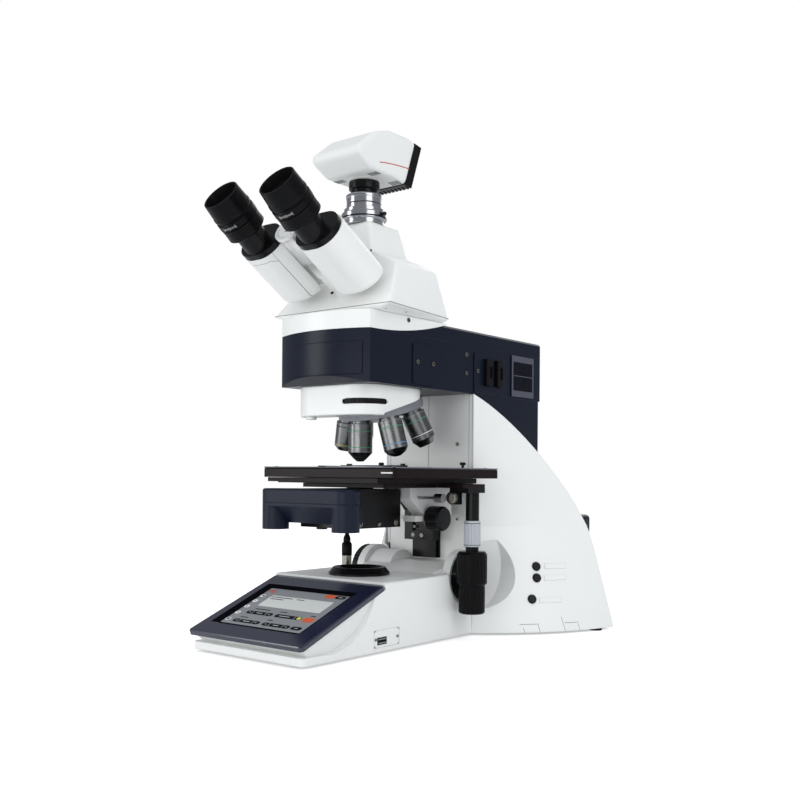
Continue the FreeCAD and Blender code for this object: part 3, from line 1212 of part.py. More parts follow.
def make_stage_carriage():
    body = new_body("stage_carriage")
    rear = "(column_front - rail_thick - gap)"
    solid(body, "YZ", (
        (rear, "carriage_low"), (rear, BASE_PLATE_LOW), (rear + " - 48", BASE_PLATE_LOW),
        (rear + " - 48", BASE_PLATE_LOW + " - 9"), (rear + " - 24", BASE_PLATE_LOW + " - 12"),
        (rear + " - carriage_wall", BASE_PLATE_LOW + " - 26"), (rear + " - carriage_wall", "carriage_low")),
        "-carriage_half", "carriage_half")
    soften(body, "Fillet", "1.5", edges_along(Z))
    hollow(body, "XZ", rectangle("-rail_half * 0.5", "rail_half * 0.5", "carriage_low + 10", "carriage_low + 34"),
           rear + " - carriage_wall - 1", rear + " - carriage_wall + 3")
    solid(body, "XY", rectangle("carriage_half - 1", "carrier_left - gap", "carrier_rear - 14", "carrier_rear + 7"),
          "carrier_low + 4", BASE_PLATE_LOW)
    return body


def make_stage_rail():
    body = new_body("stage_rail")
    solid(body, "XY", (
        ("-rail_half", "column_front"), ("rail_half", "column_front"), ("rail_half", "column_front - rail_thick * 0.4"),
        ("rail_half - 3", "column_front - rail_thick * 0.4"), ("rail_half - 1", "column_front - rail_thick"),
        ("1 - rail_half", "column_front - rail_thick"), ("3 - rail_half", "column_front - rail_thick * 0.4"),
        ("-rail_half", "column_front - rail_thick * 0.4")), "rail_low",
        "stage_top - stage_thick - focus_travel - 2 * gap")
    return body


def make_specimen_holder():
    """Spring clip with two arms on a fixed bar behind the opening."""
    body = new_body("specimen_holder")
    solid(body, "XY", (
        ("-44", "window_half_y + 5"), ("44", "window_half_y + 5"), ("44", "window_half_y + 11"),
        ("-36", "window_half_y + 11"), ("-36", "window_half_y + 19"), ("-44", "window_half_y + 19")),
        "stage_top", "stage_top + 2.4")
    solid(body, "XY", rectangle("-44", "-40", "-window_half_y - 4", "window_half_y + 6"), "stage_top", "stage_top + 1.6")
    solid(body, "XY", rectangle("40", "44", "-window_half_y + 2", "window_half_y + 6"), "stage_top", "stage_top + 1.6")
    solid_round(body, "XY", (("-40", "window_half_y + 15", "3"), ("40", "window_half_y + 8", "2.6")),
                "stage_top", "stage_top + 4")
    return body


def make_drive_housing():
    body = new_body("drive_housing")
    solid(body, "XY", rectangle("drive_x - 14", "drive_x + 8", "clamp_knob_y + 6", "drive_y + 11"),
          BASE_PLATE_LOW + " - 5", BASE_PLATE_LOW)
    solid(body, "XY", rectangle("clamp_knob_x - 5", "clamp_knob_x + 5", "clamp_knob_y + 6", "clamp_knob_y + 14"),
          "clamp_knob_z - 7", BASE_PLATE_LOW)
    solid_round(body, "XY", (("drive_x", "drive_y", "drive_tube"),), "drive_tube_low", BASE_PLATE_LOW)
    solid_round(body, "XY", (("drive_x", "drive_y", "drive_spindle"),), "knob_seam + 4", "drive_tube_low + 1")
    return body


def fluted(body, radius, count, low, high):
    sketch = sketch_on(body, "XY", low)
    draw_circle(sketch, "%s + flute_radius * 0.4" % radius, "0", "flute_radius")
    groove = checked_cut(body, "Pocket", sketch, low, high, "XY")
    around(body, groove, count)


def make_torque_ring():
    body = new_body("torque_ring")
    turned(body, (("drive_spindle + gap", "0"), ("torque_radius", "0"), ("torque_radius", "26.6"),
                  ("torque_radius - 0.8", "drive_tube_low - gap - torque_low"),
                  ("drive_spindle + gap", "drive_tube_low - gap - torque_low")))
    fluted(body, "torque_radius", "16", "2", "24")
    return place(body, "drive_x", "drive_y", "torque_low")


def make_drive_knob_y():
    body = new_body("drive_knob_y")
    turned(body, (("drive_spindle + gap", "0"), ("knob_y_radius - 1", "0"), ("knob_y_radius", "1.5"),
                  ("knob_y_radius", "knob_y_top - knob_seam - 3"), ("knob_y_radius - 2", "knob_y_top - knob_seam"),
                  ("drive_tube - gap", "knob_y_top - knob_seam"),
                  ("drive_tube - gap", "torque_low - knob_seam - gap"),
                  ("drive_spindle + gap", "torque_low - knob_seam - gap")))
    fluted(body, "knob_y_radius", "24", "2", "knob_y_top - knob_seam - 4")
    return place(body, "drive_x", "drive_y", "knob_seam")


def make_drive_knob_x():
    body = new_body("drive_knob_x")
    turned(body, (("0", "0"), ("knob_x_radius - 1.5", "0"), ("knob_x_radius", "1.5"),
                  ("knob_x_radius", "knob_seam - gap - knob_x_low"), ("0", "knob_seam - gap - knob_x_low")))
    fluted(body, "knob_x_radius", "20", "2", "knob_seam - knob_x_low - 2")
    return place(body, "drive_x", "drive_y", "knob_x_low")


def make_stage_clamp_knob():
    body = new_body("stage_clamp_knob")
    turned(body, (("0", "gap"), ("clamp_knob_radius - 0.8", "gap"), ("clamp_knob_radius", "1.2"),
                  ("clamp_knob_radius", "5"), ("clamp_knob_radius - 0.8", "5.8"), ("0", "5.8")))
    fluted(body, "clamp_knob_radius", "16", "1.4", "4.8")
    return place(body, "clamp_knob_x", "clamp_knob_y + 6", "clamp_knob_z", facing=-Y)


# Condenser

def casing_outline():
    bend = "casing_soft * (1 - cos(45))"
    return (("-casing_half + casing_soft", "casing_front"), ("casing_half - casing_soft", "casing_front"),
            ("casing_half", "casing_front + casing_soft", "casing_half - " + bend, "casing_front + " + bend),
            ("casing_half - casing_soft", "casing_front + 2 * casing_soft", "casing_half - " + bend,
             "casing_front + 2 * casing_soft - " + bend),
            ("casing_half - casing_soft - 6", "casing_rear"), ("-casing_half + casing_soft + 6", "casing_rear"),
            ("-casing_half + casing_soft", "casing_front + 2 * casing_soft"),
            ("-casing_half", "casing_front + casing_soft", "-casing_half + " + bend,
             "casing_front + 2 * casing_soft - " + bend),
            ("-casing_half + casing_soft", "casing_front", "-casing_half + " + bend, "casing_front + " + bend))[1:]


def make_condenser_casing_upper():
    body = new_body("condenser_casing_upper")
    solid(body, "XY", casing_outline(), "casing_seam", "condenser_top")
    soften(body, "Fillet", "edge_soft", lambda edge: edges_at_height("condenser_top")(edge)
           and edge.CenterOfMass.y < value("casing_rear - 0.5"))
    return body


def make_condenser_casing_lower():
    body = new_body("condenser_casing_lower")
    solid(body, "XY", casing_outline(), "casing_seam - 3.5", "casing_seam - fit")
    pods = tuple((sign + "(casing_half - casing_soft)", "casing_front + casing_soft", "casing_soft")
                 for sign in ("", "-"))
    solid_round(body, "XY", pods, "pod_low", "casing_seam - 3")
    panel = "casing_half - casing_soft"
    solid(body, "YZ", (("casing_front + 1", "casing_seam - 3"), ("casing_front + 17", "panel_low"),
                       ("casing_rear", "panel_low"), ("casing_rear", "casing_seam - 3")), "-(%s)" % panel, panel)
    return body


def make_condenser_body():
    body = new_body("condenser_body")
    solid(body, "XY", rectangle("-condenser_half", "condenser_half", "casing_rear", "condenser_rear"),
          "condenser_low", "condenser_top")
    soften(body, "Fillet", "edge_soft * 2", edges_along(Z, lambda middle: middle.y > 0))
    solid_round(body, "XY", (("0", "0", "lens_radius"),), "condenser_top - 1", "condenser_top + lens_rise")
    solid_round(body, "XY", (("-12", "casing_rear + 6", "5.5"),), "condenser_low - 2", "condenser_low + 1")
    return body


def make_condenser_carrier():
    body = new_body("condenser_carrier")
    front = "condenser_rear"
    top = "(%s - gap)" % BASE_PLATE_LOW
    solid(body, "YZ", (
        (front, top), (front, "condenser_top - 10"), ("focus_knob_y - 8", "condenser_top - 28"),
        ("focus_knob_y - 24", "carrier_low + 6"), ("focus_knob_y - 24", "carrier_low"),
        ("carrier_rear", "carrier_low"), ("carrier_rear", top)), "carrier_left", "carrier_right")
    return body


def knob_on_carrier(label, y, z, profile):
    body = new_body(label)
    turned(body, profile)
    return place(body, "carrier_right", y, z, facing=X)


def make_condenser_knob():
    body = knob_on_carrier("condenser_knob", "focus_knob_y", "focus_knob_z", (
        ("0", "gap"), ("focus_knob_radius - 2", "gap"), ("focus_knob_radius", "3"),
        ("focus_knob_radius", "focus_knob_end - carrier_right - 2"),
        ("focus_knob_radius - 1.5", "focus_knob_end - carrier_right"), ("0", "focus_knob_end - carrier_right")))
    fluted(body, "focus_knob_radius", "20", "4", "focus_knob_end - carrier_right - 2.5")
    return body


def make_centring_key():
    return knob_on_carrier("centring_key", "key_y", "key_z", (
        ("0", "gap"), ("key_rod", "gap"), ("key_rod", "key_end - carrier_right - 11"),
        ("key_handle", "key_end - carrier_right - 10"), ("key_handle", "key_end - carrier_right"),
        ("0", "key_end - carrier_right")))


def make_condenser_plug():
    body = new_body("condenser_plug")
    turned(body, (("0", "0"), ("plug_radius", "0"), ("plug_radius", "plug_top - deck_top"),
                  ("plug_radius - 1.6", "plug_top - deck_top"), ("plug_radius - 0.6", "plug_top - deck_top + 5"),
                  ("plug_radius - 2.2", "relief_top - deck_top"), ("0", "relief_top - deck_top")))
    return place(body, "plug_x", "plug_y", "deck_top")


def round_path(points):
    """Straight runs joined by tangent arcs: each radius is 0.45 of the shorter run over the half turn's tangent."""
    edges = []
    start = points[0]
    for before, corner, after in zip(points, points[1:], points[2:]):
        run_in, run_out = corner - before, after - corner
        turn = run_in.getAngle(run_out)
        reach = 0.45 * min(run_in.Length, run_out.Length)
        radius = reach / math.tan(turn / 2)
        enter = corner - run_in.normalize() * reach
        leave = corner + run_out.normalize() * reach
        inward = (enter + leave) * 0.5 - corner
        middle = corner + inward.normalize() * (radius / math.cos(turn / 2) - radius)
        edges += [Part.LineSegment(start, enter).toShape(), Part.Arc(enter, middle, leave).toShape()]
        start = leave
    edges.append(Part.LineSegment(start, points[-1]).toShape())
    return Part.Wire(edges)


def make_condenser_lead():
    """The lead rises from its plug in the deck, behind the condenser, and enters the condenser's rear face."""
    foot = V(value("plug_x"), value("plug_y"), value("relief_top"))
    end = V(value("lead_end_x"), value("condenser_rear"), value("lead_end_z"))
    points = [foot, foot + V(0, 0, 6), foot + V(1.6, 5, 18), end + V(0, 10, 0), end]
    path = round_path(points)
    ring = Part.Wire(Part.makeCircle(value("lead_radius"), foot, Z))
    lead = doc.addObject("Part::Feature", "condenser_lead")
    lead.Shape = path.makePipeShell([ring], True, False)
    return lead


# Buttons on the right wing

BUTTONS = ("button_upper", "button_middle", "button_lower")


def outer_skin(shape, start, direction):
    """Where a line from inside a solid leaves it for good."""
    ray = Part.LineSegment(start, start + direction * BIG).toShape()
    inside = ray.common(shape)
    return max((vertex.Point for vertex in inside.Vertexes), key=lambda point: point.distanceToPoint(start))


def button_spots(wing):
    """Points and outward directions of the three buttons on the wing's skin."""
    doc.recompute()
    spots = []
    for name in BUTTONS:
        start = V(value("column_half + 5"), value(name + "_y"), value(name + "_z"))
        point = outer_skin(wing.Shape, start, X)
        above = outer_skin(wing.Shape, start + Z * 4, X)
        behind = outer_skin(wing.Shape, start + Y * 4, X)
        normal = (behind - point).cross(above - point)
        spots.append((point, normal.normalize()))
    return spots


def make_buttons(spots):
    buttons = []
    for label, (point, normal) in zip(BUTTONS, spots):
        body = new_body(label)
        turned(body, (("0", "-6"), ("button_radius", "-6"), ("button_radius", "button_proud - 0.7"),
                      ("button_radius - 0.7", "button_proud"), ("0", "button_proud")))
        body.Placement = FreeCAD.Placement(point, FreeCAD.Rotation(Z, normal))
        buttons.append(body)
    return buttons


def bore_for_buttons(wing, spots):
    drilled = wing
    for number, (point, normal) in enumerate(spots):
        bore = doc.addObject("Part::Cylinder", "button_bore_%d" % number)
        bind(bore, "Radius", "button_radius + gap")
        bind(bore, "Height", "20 + button_travel")
        bore.Placement = FreeCAD.Placement(point - normal * (6.5 + value("button_travel")), FreeCAD.Rotation(Z, normal))
        drilled = boolean("Cut", "wing_drilled_%d" % number, drilled, bore)
    return drilled


def make_focus_wheels():
    body = new_body("focus_wheels")
    half = "wheel_outer"
    turned(body, (
        ("0", "-" + half), ("wheel_radius - 2.5", "-" + half), ("wheel_radius", "1.5 - " + half),
        ("wheel_radius", "-wheel_inner - 0.8"), ("wheel_radius - 0.8", "-wheel_inner"), ("wheel_shaft", "-wheel_inner"),
        ("wheel_shaft", "wheel_inner"), ("wheel_radius - 0.8", "wheel_inner"), ("wheel_radius", "wheel_inner + 0.8"),
        ("wheel_radius", half + " - 1.5"), ("wheel_radius - 2.5", half), ("0", half)))
    for low, high in (("-wheel_outer + 1.2", "-wheel_inner - 1"), ("wheel_inner + 1", "wheel_outer - 1.2")):
        sketch = sketch_on(body, "XY", low)
        draw_circle(sketch, "wheel_radius + 0.5", "0", "1.3")
        groove = checked_cut(body, "Pocket", sketch, low, high, "XY")
        around(body, groove, "45")
    return place(body, "0", "wheel_y", "wheel_z", facing=X)


FOOTPRINT_MIDDLE = "((display_front + lamp_rear) / 2)"
NODES = []


def keep(item):
    NODES.append(item)
    return item


scoop_right = scoop_cutter("right")
scoop_left = scoop_cutter("left")
wing_bare = make_wing(scoop_right)
spots = button_spots(wing_bare)

keep(make_base_housing((scoop_right, scoop_left)))
keep(make_console_housing())
keep(make_display_bezel())
keep(make_touch_screen())
keep(make_light_port_ring())
keep(make_deck_cover())
keep(make_stand_casting())
keep(make_column_covers())
keep(make_rear_housing())
keep(group("side_wings", [bore_for_buttons(wing_bare, spots), mirrored("wing_left", wing_bare)]))
keep(make_lamp_housing())
keep(make_feet())
keep(make_usb_panel())
keep(make_casing_screws())
for button in make_buttons(spots):
    keep(button)
keep(make_focus_wheels())

keep(make_arm_housing())
keep(make_arm_front_cover())
keep(make_arm_top_cover())
keep(make_arm_neck())
keep(group("arm_side_panels", [side_panel("port_cover", "port_front", "port_rear", "port_low", "port_high"),
                               make_slider_frame(), make_vent_grille()]))
keep(make_filter_slider("filter_slider_front", 0))
keep(make_filter_slider("filter_slider_rear", 1))
keep(make_nosepiece_housing())
keep(make_prism_thumbwheel())
keep(make_nosepiece_turret())
keep(make_objectives())

keep(make_head_body())
for side, offset in (("right", "eye_half"), ("left", "-eye_half")):
    keep(make_tube_housing("tube_housing_" + side, offset))
    keep(make_eyetube("eyetube_" + side, offset))
    keep(make_eyepiece("eyepiece_" + side, offset))
keep(make_ipd_dial())
keep(ring_stack("photo_tube", "photo_y", (
    ("photo_bore", "head_top"), ("photo_radius", "head_top"), ("photo_radius", "photo_ring_z"),
    ("clamp_radius", "photo_ring_z"), ("clamp_radius", "clamp_top - 1.2"), ("clamp_radius - 1.2", "clamp_top"),
    ("photo_bore", "clamp_top"))))
keep(ring_stack("camera_adapter", "photo_y", (
    ("photo_bore", "clamp_top"), ("flange_radius", "clamp_top"), ("flange_radius", "flange_top - 0.8"),
    ("flange_radius - 0.8", "flange_top"), ("adapter_radius", "flange_top"), ("adapter_radius", "adapter_top"),
    ("mount_radius - 1", "adapter_top"), ("mount_radius", "adapter_top + 1"),
    ("mount_radius", "camera_floor - 2.5"), ("photo_bore", "camera_floor - 2.5"))))
keep(make_camera_body())
keep(make_camera_heat_sink())

keep(make_stage_rail())
keep(make_stage_carriage())
keep(make_stage_base_plate())
keep(make_stage_slide_plate())
keep(make_stage_top_plate())
keep(make_specimen_holder())
keep(make_drive_housing())
keep(make_torque_ring())
keep(make_drive_knob_y())
keep(make_drive_knob_x())
keep(make_stage_clamp_knob())

keep(make_condenser_casing_upper())
keep(make_condenser_casing_lower())
keep(make_condenser_body())
keep(make_condenser_carrier())
keep(make_condenser_knob())
keep(make_centring_key())
keep(make_condenser_plug())
keep(make_condenser_lead())


def finish():
    doc.recompute()
    for item in doc.Objects:
        if "Invalid" in item.State or "Error" in item.State:
            raise RuntimeError("%s is %s" % (item.Label, item.State))
    os.makedirs("parts", exist_ok=True)
    for item in NODES:
        shape = item.Shape.copy()
        shape.translate(V(0, -value(FOOTPRINT_MIDDLE), 0))
        if shape.isNull() or not shape.isValid() or not shape.Solids:
            raise RuntimeError(item.Label + " has no valid solid")
        shape.exportStep(os.path.join("parts", item.Label + ".step"))
        print("%-24s solids %2d volume %10.0f" % (item.Label, len(shape.Solids), shape.Volume))
    print("nodes", len(NODES))


finish()
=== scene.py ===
import contextlib
import json
import math

import bmesh
import bpy
from mathutils import Matrix, Vector
from mathutils.bvhtree import BVHTree


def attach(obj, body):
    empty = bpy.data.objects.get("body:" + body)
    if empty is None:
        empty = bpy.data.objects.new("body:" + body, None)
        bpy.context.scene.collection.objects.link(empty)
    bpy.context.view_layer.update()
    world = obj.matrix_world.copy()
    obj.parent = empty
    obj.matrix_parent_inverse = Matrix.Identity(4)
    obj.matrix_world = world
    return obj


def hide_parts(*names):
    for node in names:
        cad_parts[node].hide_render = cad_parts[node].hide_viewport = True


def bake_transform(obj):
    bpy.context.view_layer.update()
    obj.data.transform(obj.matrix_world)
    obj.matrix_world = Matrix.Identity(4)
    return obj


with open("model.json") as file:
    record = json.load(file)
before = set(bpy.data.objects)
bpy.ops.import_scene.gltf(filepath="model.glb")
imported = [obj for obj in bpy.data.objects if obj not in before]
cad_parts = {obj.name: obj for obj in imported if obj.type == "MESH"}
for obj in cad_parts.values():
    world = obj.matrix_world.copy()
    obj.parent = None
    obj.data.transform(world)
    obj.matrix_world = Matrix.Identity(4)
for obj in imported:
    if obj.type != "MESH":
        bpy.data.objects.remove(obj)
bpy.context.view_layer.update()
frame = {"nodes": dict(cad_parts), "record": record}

bl_info = {
    "name": "Laboratory Microscope",
    "version": (1, 0, 0),
    "blender": (4, 5, 0),
    "location": "View3D > Sidebar > Microscope",
    "description": "Finishes, lenses, display picture, marks and studio of a laboratory microscope",
    "category": "Object",
}

# Places and frames. Lengths in these calls are millimetres from the optical axis on the bench

FOOTPRINT_MIDDLE = 111.5
DISPLAY_TILT = 21.4
TUBE_RISE = 37.75
HOUSING_RISE = 31.6
TUBE_FOOT = (-47.0, 345.0)
TUBE_LENGTH = 74.0
EYES = (("right", 37.5), ("left", -37.5))
TURRET_TILT = 16.2
TURRET_REACH = 126.7
TURRET_PLACES = 7
OBJECTIVE_RADIUS = 12.5
SHOULDER = 225.0
STAGE_TOP = 178.0
OUTWARD = Matrix.Rotation(math.radians(90), 4, "Y")

# Metres
SEAM_PROUD = 0.00006
WING_SIDE = 0.105
WING_TAB_TOP = 0.0113


def spot(x, y, z):
    """A point in the frame, from millimetres beside, behind and above the optical axis's foot."""
    return Vector((x, y - FOOTPRINT_MIDDLE, z)) / 1000


def turned_place(x, y, z, degrees=0):
    """A place turned this far about X."""
    return Matrix.Translation(spot(x, y, z)) @ Matrix.Rotation(math.radians(degrees), 4, "X")


def facing(point, normal, along=(0, 0, 1)):
    """A place on a surface: local Z is its normal, and local Y is as near as can be to along."""
    up = Vector(normal).normalized()
    side = Vector(along).cross(up).normalized()
    return Matrix.Translation(point) @ Matrix((side, up.cross(side), up)).transposed().to_4x4()


def on_skin(node, point, along=(0, 0, 1)):
    """The place on a solid's skin nearest to a point."""
    mesh = frame["nodes"][node].data
    tree = BVHTree.FromPolygons([vert.co for vert in mesh.vertices],
                                [face.vertices for face in mesh.polygons])
    near, normal, _, _ = tree.find_nearest(point)
    return facing(near, normal, along)


def moved(where, x=0, y=0, z=0):
    return where @ Matrix.Translation(Vector((x, y, z)) / 1000)


def tube_place(x, length=0):
    """On an eyepiece tube, this far up its axis, with local Z along it."""
    rise = math.radians(TUBE_RISE)
    y, z = TUBE_FOOT
    return turned_place(x, y - length * math.cos(rise), z + length * math.sin(rise), 90 - TUBE_RISE)


def housing_place(x=0):
    """Where a tube housing meets its collar, with local Z up the housing and local Y across it."""
    rise = math.radians(TUBE_RISE)
    y, z = TUBE_FOOT
    return turned_place(x, y - TUBE_LENGTH * math.cos(rise), z + TUBE_LENGTH * math.sin(rise),
                        90 - HOUSING_RISE)


def turret_place(number):
    """The shoulder of an objective, with local Z down its axis. Place 0 is in use."""
    tilt = math.radians(TURRET_TILT)
    centre = spot(0, TURRET_REACH * math.cos(tilt) * math.sin(tilt),
                  SHOULDER + TURRET_REACH * math.sin(tilt) ** 2)
    axis = Vector((0, -math.sin(tilt), math.cos(tilt)))
    turn = Matrix.Rotation(-math.tau / TURRET_PLACES * number, 4, axis)
    return Matrix.Translation(centre) @ turn @ Matrix.Translation(-centre) @ turned_place(0, 0, SHOULDER, 180)


# Building shapes

def fresh(bm, before):
    return [vert for vert in bm.verts if vert not in before]


def mesh_of(name, bm):
    """The mesh of a bmesh, which ends with it."""
    mesh = bpy.data.meshes.new(name)
    bm.to_mesh(mesh)
    bm.free()
    return mesh


def placed(name, data):
    """An object with this data, in the scene."""
    made = bpy.data.objects.new(name, data)
    bpy.context.scene.collection.objects.link(made)
    return made


def pour(bm, mesh):
    """Add a mesh to a bmesh, and drop the mesh."""
    bm.from_mesh(mesh)
    bpy.data.meshes.remove(mesh)


def cut_off(bm, point, normal):
    """Remove what lies past a plane."""
    bmesh.ops.bisect_plane(bm, geom=bm.verts[:] + bm.edges[:] + bm.faces[:], dist=1e-7, plane_co=point,
                           plane_no=normal, clear_outer=True)


def add_plate(bm, where, width, depth, thick, corner=0.0, segments=6):
    """A flat plate with rounded corners on local Z 0, its middle at the place, in millimetres."""
    before = set(bm.verts)
    bmesh.ops.create_grid(bm, x_segments=1, y_segments=1, size=0.5)
    verts = fresh(bm, before)
    bmesh.ops.scale(bm, vec=(width / 1000, depth / 1000, 1), verts=verts)
    if corner:
        bmesh.ops.bevel(bm, geom=verts, offset=min(corner, width * 0.499, depth * 0.499) / 1000,
                        offset_type="OFFSET", affect="VERTICES", segments=segments, profile=0.5, material=-1)
    faces = [face for face in bm.faces if all(vert not in before for vert in face.verts)]
    top = bmesh.ops.extrude_face_region(bm, geom=faces)
    raised = [item for item in top["geom"] if isinstance(item, bmesh.types.BMVert)]
    bmesh.ops.translate(bm, vec=(0, 0, thick / 1000), verts=raised)
    bmesh.ops.transform(bm, matrix=where, verts=fresh(bm, before))


def add_turned(bm, where, profile, steps=64):
    """A profile of (radius, height) pairs in millimetres, spun round local Z."""
    before = set(bm.verts)
    verts = [bm.verts.new((radius / 1000, 0, height / 1000)) for radius, height in profile]
    edges = [bm.edges.new(pair) for pair in zip(verts, verts[1:])]
    bmesh.ops.spin(bm, geom=verts + edges, cent=(0, 0, 0), axis=(0, 0, 1), angle=math.tau, steps=steps,
                   use_merge=True, use_duplicate=False)
    bmesh.ops.remove_doubles(bm, verts=fresh(bm, before), dist=1e-6)
    bmesh.ops.transform(bm, matrix=where, verts=fresh(bm, before))


def add_band(bm, where, radius, low, high, depth=0.08, steps=96):
    """A closed thin ring round a cylinder of this radius."""
    add_turned(bm, where, ((radius - 0.2, low), (radius + depth, low), (radius + depth, high),
                           (radius - 0.2, high), (radius - 0.2, low)), steps)


def add_dome(bm, where, radius, height, steps=48, thick=0.6):
    """A lens face: a shallow dome on a short rim."""
    rings = [(radius * math.sin(step * math.pi / 12), thick + height * math.cos(step * math.pi / 12))
             for step in range(7)]
    add_turned(bm, where, rings + [(radius, 0), (0, 0)], steps)


def add_screw(bm, where, radius, high):
    """A button-head screw with a socket."""
    add_turned(bm, where, ((0, high * 0.35), (radius * 0.42, high * 0.35), (radius * 0.5, high * 0.95),
                           (radius * 0.8, high), (radius, high * 0.6), (radius, -0.3), (0, -0.3)), 32)


def add_strip(bm, start, end, normal, width, thick):
    """A thin rounded strip along a surface from one point to another."""
    run = end - start
    where = facing((start + end) / 2, normal, run)
    add_plate(bm, where, width, run.length * 1000 + width, thick, width * 0.45, 3)


def copied(node, cut_at=None):
    """A merged copy of a solid, or only what lies in front of a place."""
    bm = bmesh.new()
    bm.from_mesh(frame["nodes"][node].data)
    bmesh.ops.remove_doubles(bm, verts=bm.verts, dist=1e-6)
    if cut_at is not None:
        cut_off(bm, (0, cut_at, 0), (0, 1, 0))
    return bm


def add_seam(bm, node, point, normal, width, keep):
    """A thin band on the skin of a solid, where a sheet of this width cuts it, kept where keep allows it."""
    band = copied(node)
    way = Vector(normal).normalized()
    for side in (1, -1):
        cut_off(band, point + way * (side * width / 2), way * side)
    bmesh.ops.delete(band, geom=[face for face in band.faces if not keep(face.calc_center_median())],
                     context="FACES")
    band.normal_update()
    for vert in band.verts:
        vert.co += vert.normal * SEAM_PROUD
    bmesh.ops.solidify(band, geom=band.faces[:], thickness=SEAM_PROUD * 3)
    pour(bm, mesh_of("seam_band", band))


def take_over(name, node, kind, voxel, passes, exact_before=None, cutter=None):
    """A copy of a solid with softly rounded edges that takes its place, exact in front of a place."""
    casing = make_piece(name, copied(node), "stand", finish(kind))
    if cutter:
        cut = casing.modifiers.new("cut", "BOOLEAN")
        cut.operation = "INTERSECT"
        cut.object = cutter
    skin = casing.modifiers.new("skin", "REMESH")
    skin.mode = "VOXEL"
    skin.voxel_size = voxel
    seen = bpy.data.meshes.new_from_object(casing.evaluated_get(bpy.context.evaluated_depsgraph_get()))
    casing.modifiers.clear()
    bm = bmesh.new()
    pour(bm, seen)
    for _ in range(passes):
        bmesh.ops.smooth_vert(bm, verts=bm.verts, factor=0.5, use_axis_x=True, use_axis_y=True,
                              use_axis_z=True)
    if exact_before is not None:
        cut_off(bm, (0, exact_before, 0), (0, -1, 0))
        pour(bm, mesh_of("front_part", copied(node, exact_before)))
    bm.to_mesh(casing.data)
    bm.free()
    casing.data.shade_smooth()
    casing.data.set_sharp_from_angle(angle=math.radians(40))
    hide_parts(node)


def islands(node):
    """The loose solids of a node, each as a list of its points."""
    bm = copied(node)
    left, found = set(bm.verts), []
    while left:
        queue, island = [left.pop()], []
        while queue:
            vert = queue.pop()
            island.append(vert.co.copy())
            for edge in vert.link_edges:
                other = edge.other_vert(vert)
                if other in left:
                    left.remove(other)
                    queue.append(other)
        found.append(island)
    bm.free()
    return found


def make_piece(name, bm, body, material):
    """Turn a bmesh into a piece that rides a body."""
    bmesh.ops.recalc_face_normals(bm, faces=bm.faces)
    mesh = mesh_of(name, bm)
    mesh.shade_smooth()
    mesh.set_sharp_from_angle(angle=math.radians(35))
    mesh.materials.append(material)
    made = placed(name, mesh)
    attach(made, body)
    return made


@contextlib.contextmanager
def piece(name, slot, kind=None, body="stand"):
    """A bmesh to fill, which then becomes a piece in the finish of this kind, or of its slot."""
    bm = bmesh.new()
    yield bm
    make_piece(name, bm, body, finish(kind or slot))


# Finishes

def set_inputs(node, values):
    for name, value in values.items():
        node.inputs[name].default_value = value


def mix(tree, factor, low, high):
    node = tree.nodes.new("ShaderNodeMix")
    node.data_type = "RGBA"
    tree.links.new(factor, node.inputs["Factor"])
    set_inputs(node, {"A": (*low, 1), "B": (*high, 1)})
    return node.outputs["Result"]


def noise(tree, scale, stretch=(1, 1, 1), detail=4.0):
    """Noise on Object coordinates, stretched where a finish has a direction."""
    place = tree.nodes.new("ShaderNodeTexCoord")
    mapping = tree.nodes.new("ShaderNodeMapping")
    mapping.inputs["Scale"].default_value = stretch
    tree.links.new(place.outputs["Object"], mapping.inputs["Vector"])
    texture = tree.nodes.new("ShaderNodeTexNoise")
    set_inputs(texture, {"Scale": scale, "Detail": detail})
    tree.links.new(mapping.outputs["Vector"], texture.inputs["Vector"])
    return texture.outputs["Fac"]


def spread(tree, value, low, high):
    """The middle of a noise's range, spread from low to high."""
    node = tree.nodes.new("ShaderNodeMapRange")
    set_inputs(node, {"From Min": 0.3, "From Max": 0.7, "To Min": low, "To Max": high})
    tree.links.new(value, node.inputs["Value"])
    return node.outputs["Result"]


def either(tree, factor, first, second):
    """The first shader, or the second where the factor is 1."""
    node = tree.nodes.new("ShaderNodeMixShader")
    for socket, source in zip(node.inputs, (factor, first, second)):
        tree.links.new(source, socket)
    return node.outputs[0]


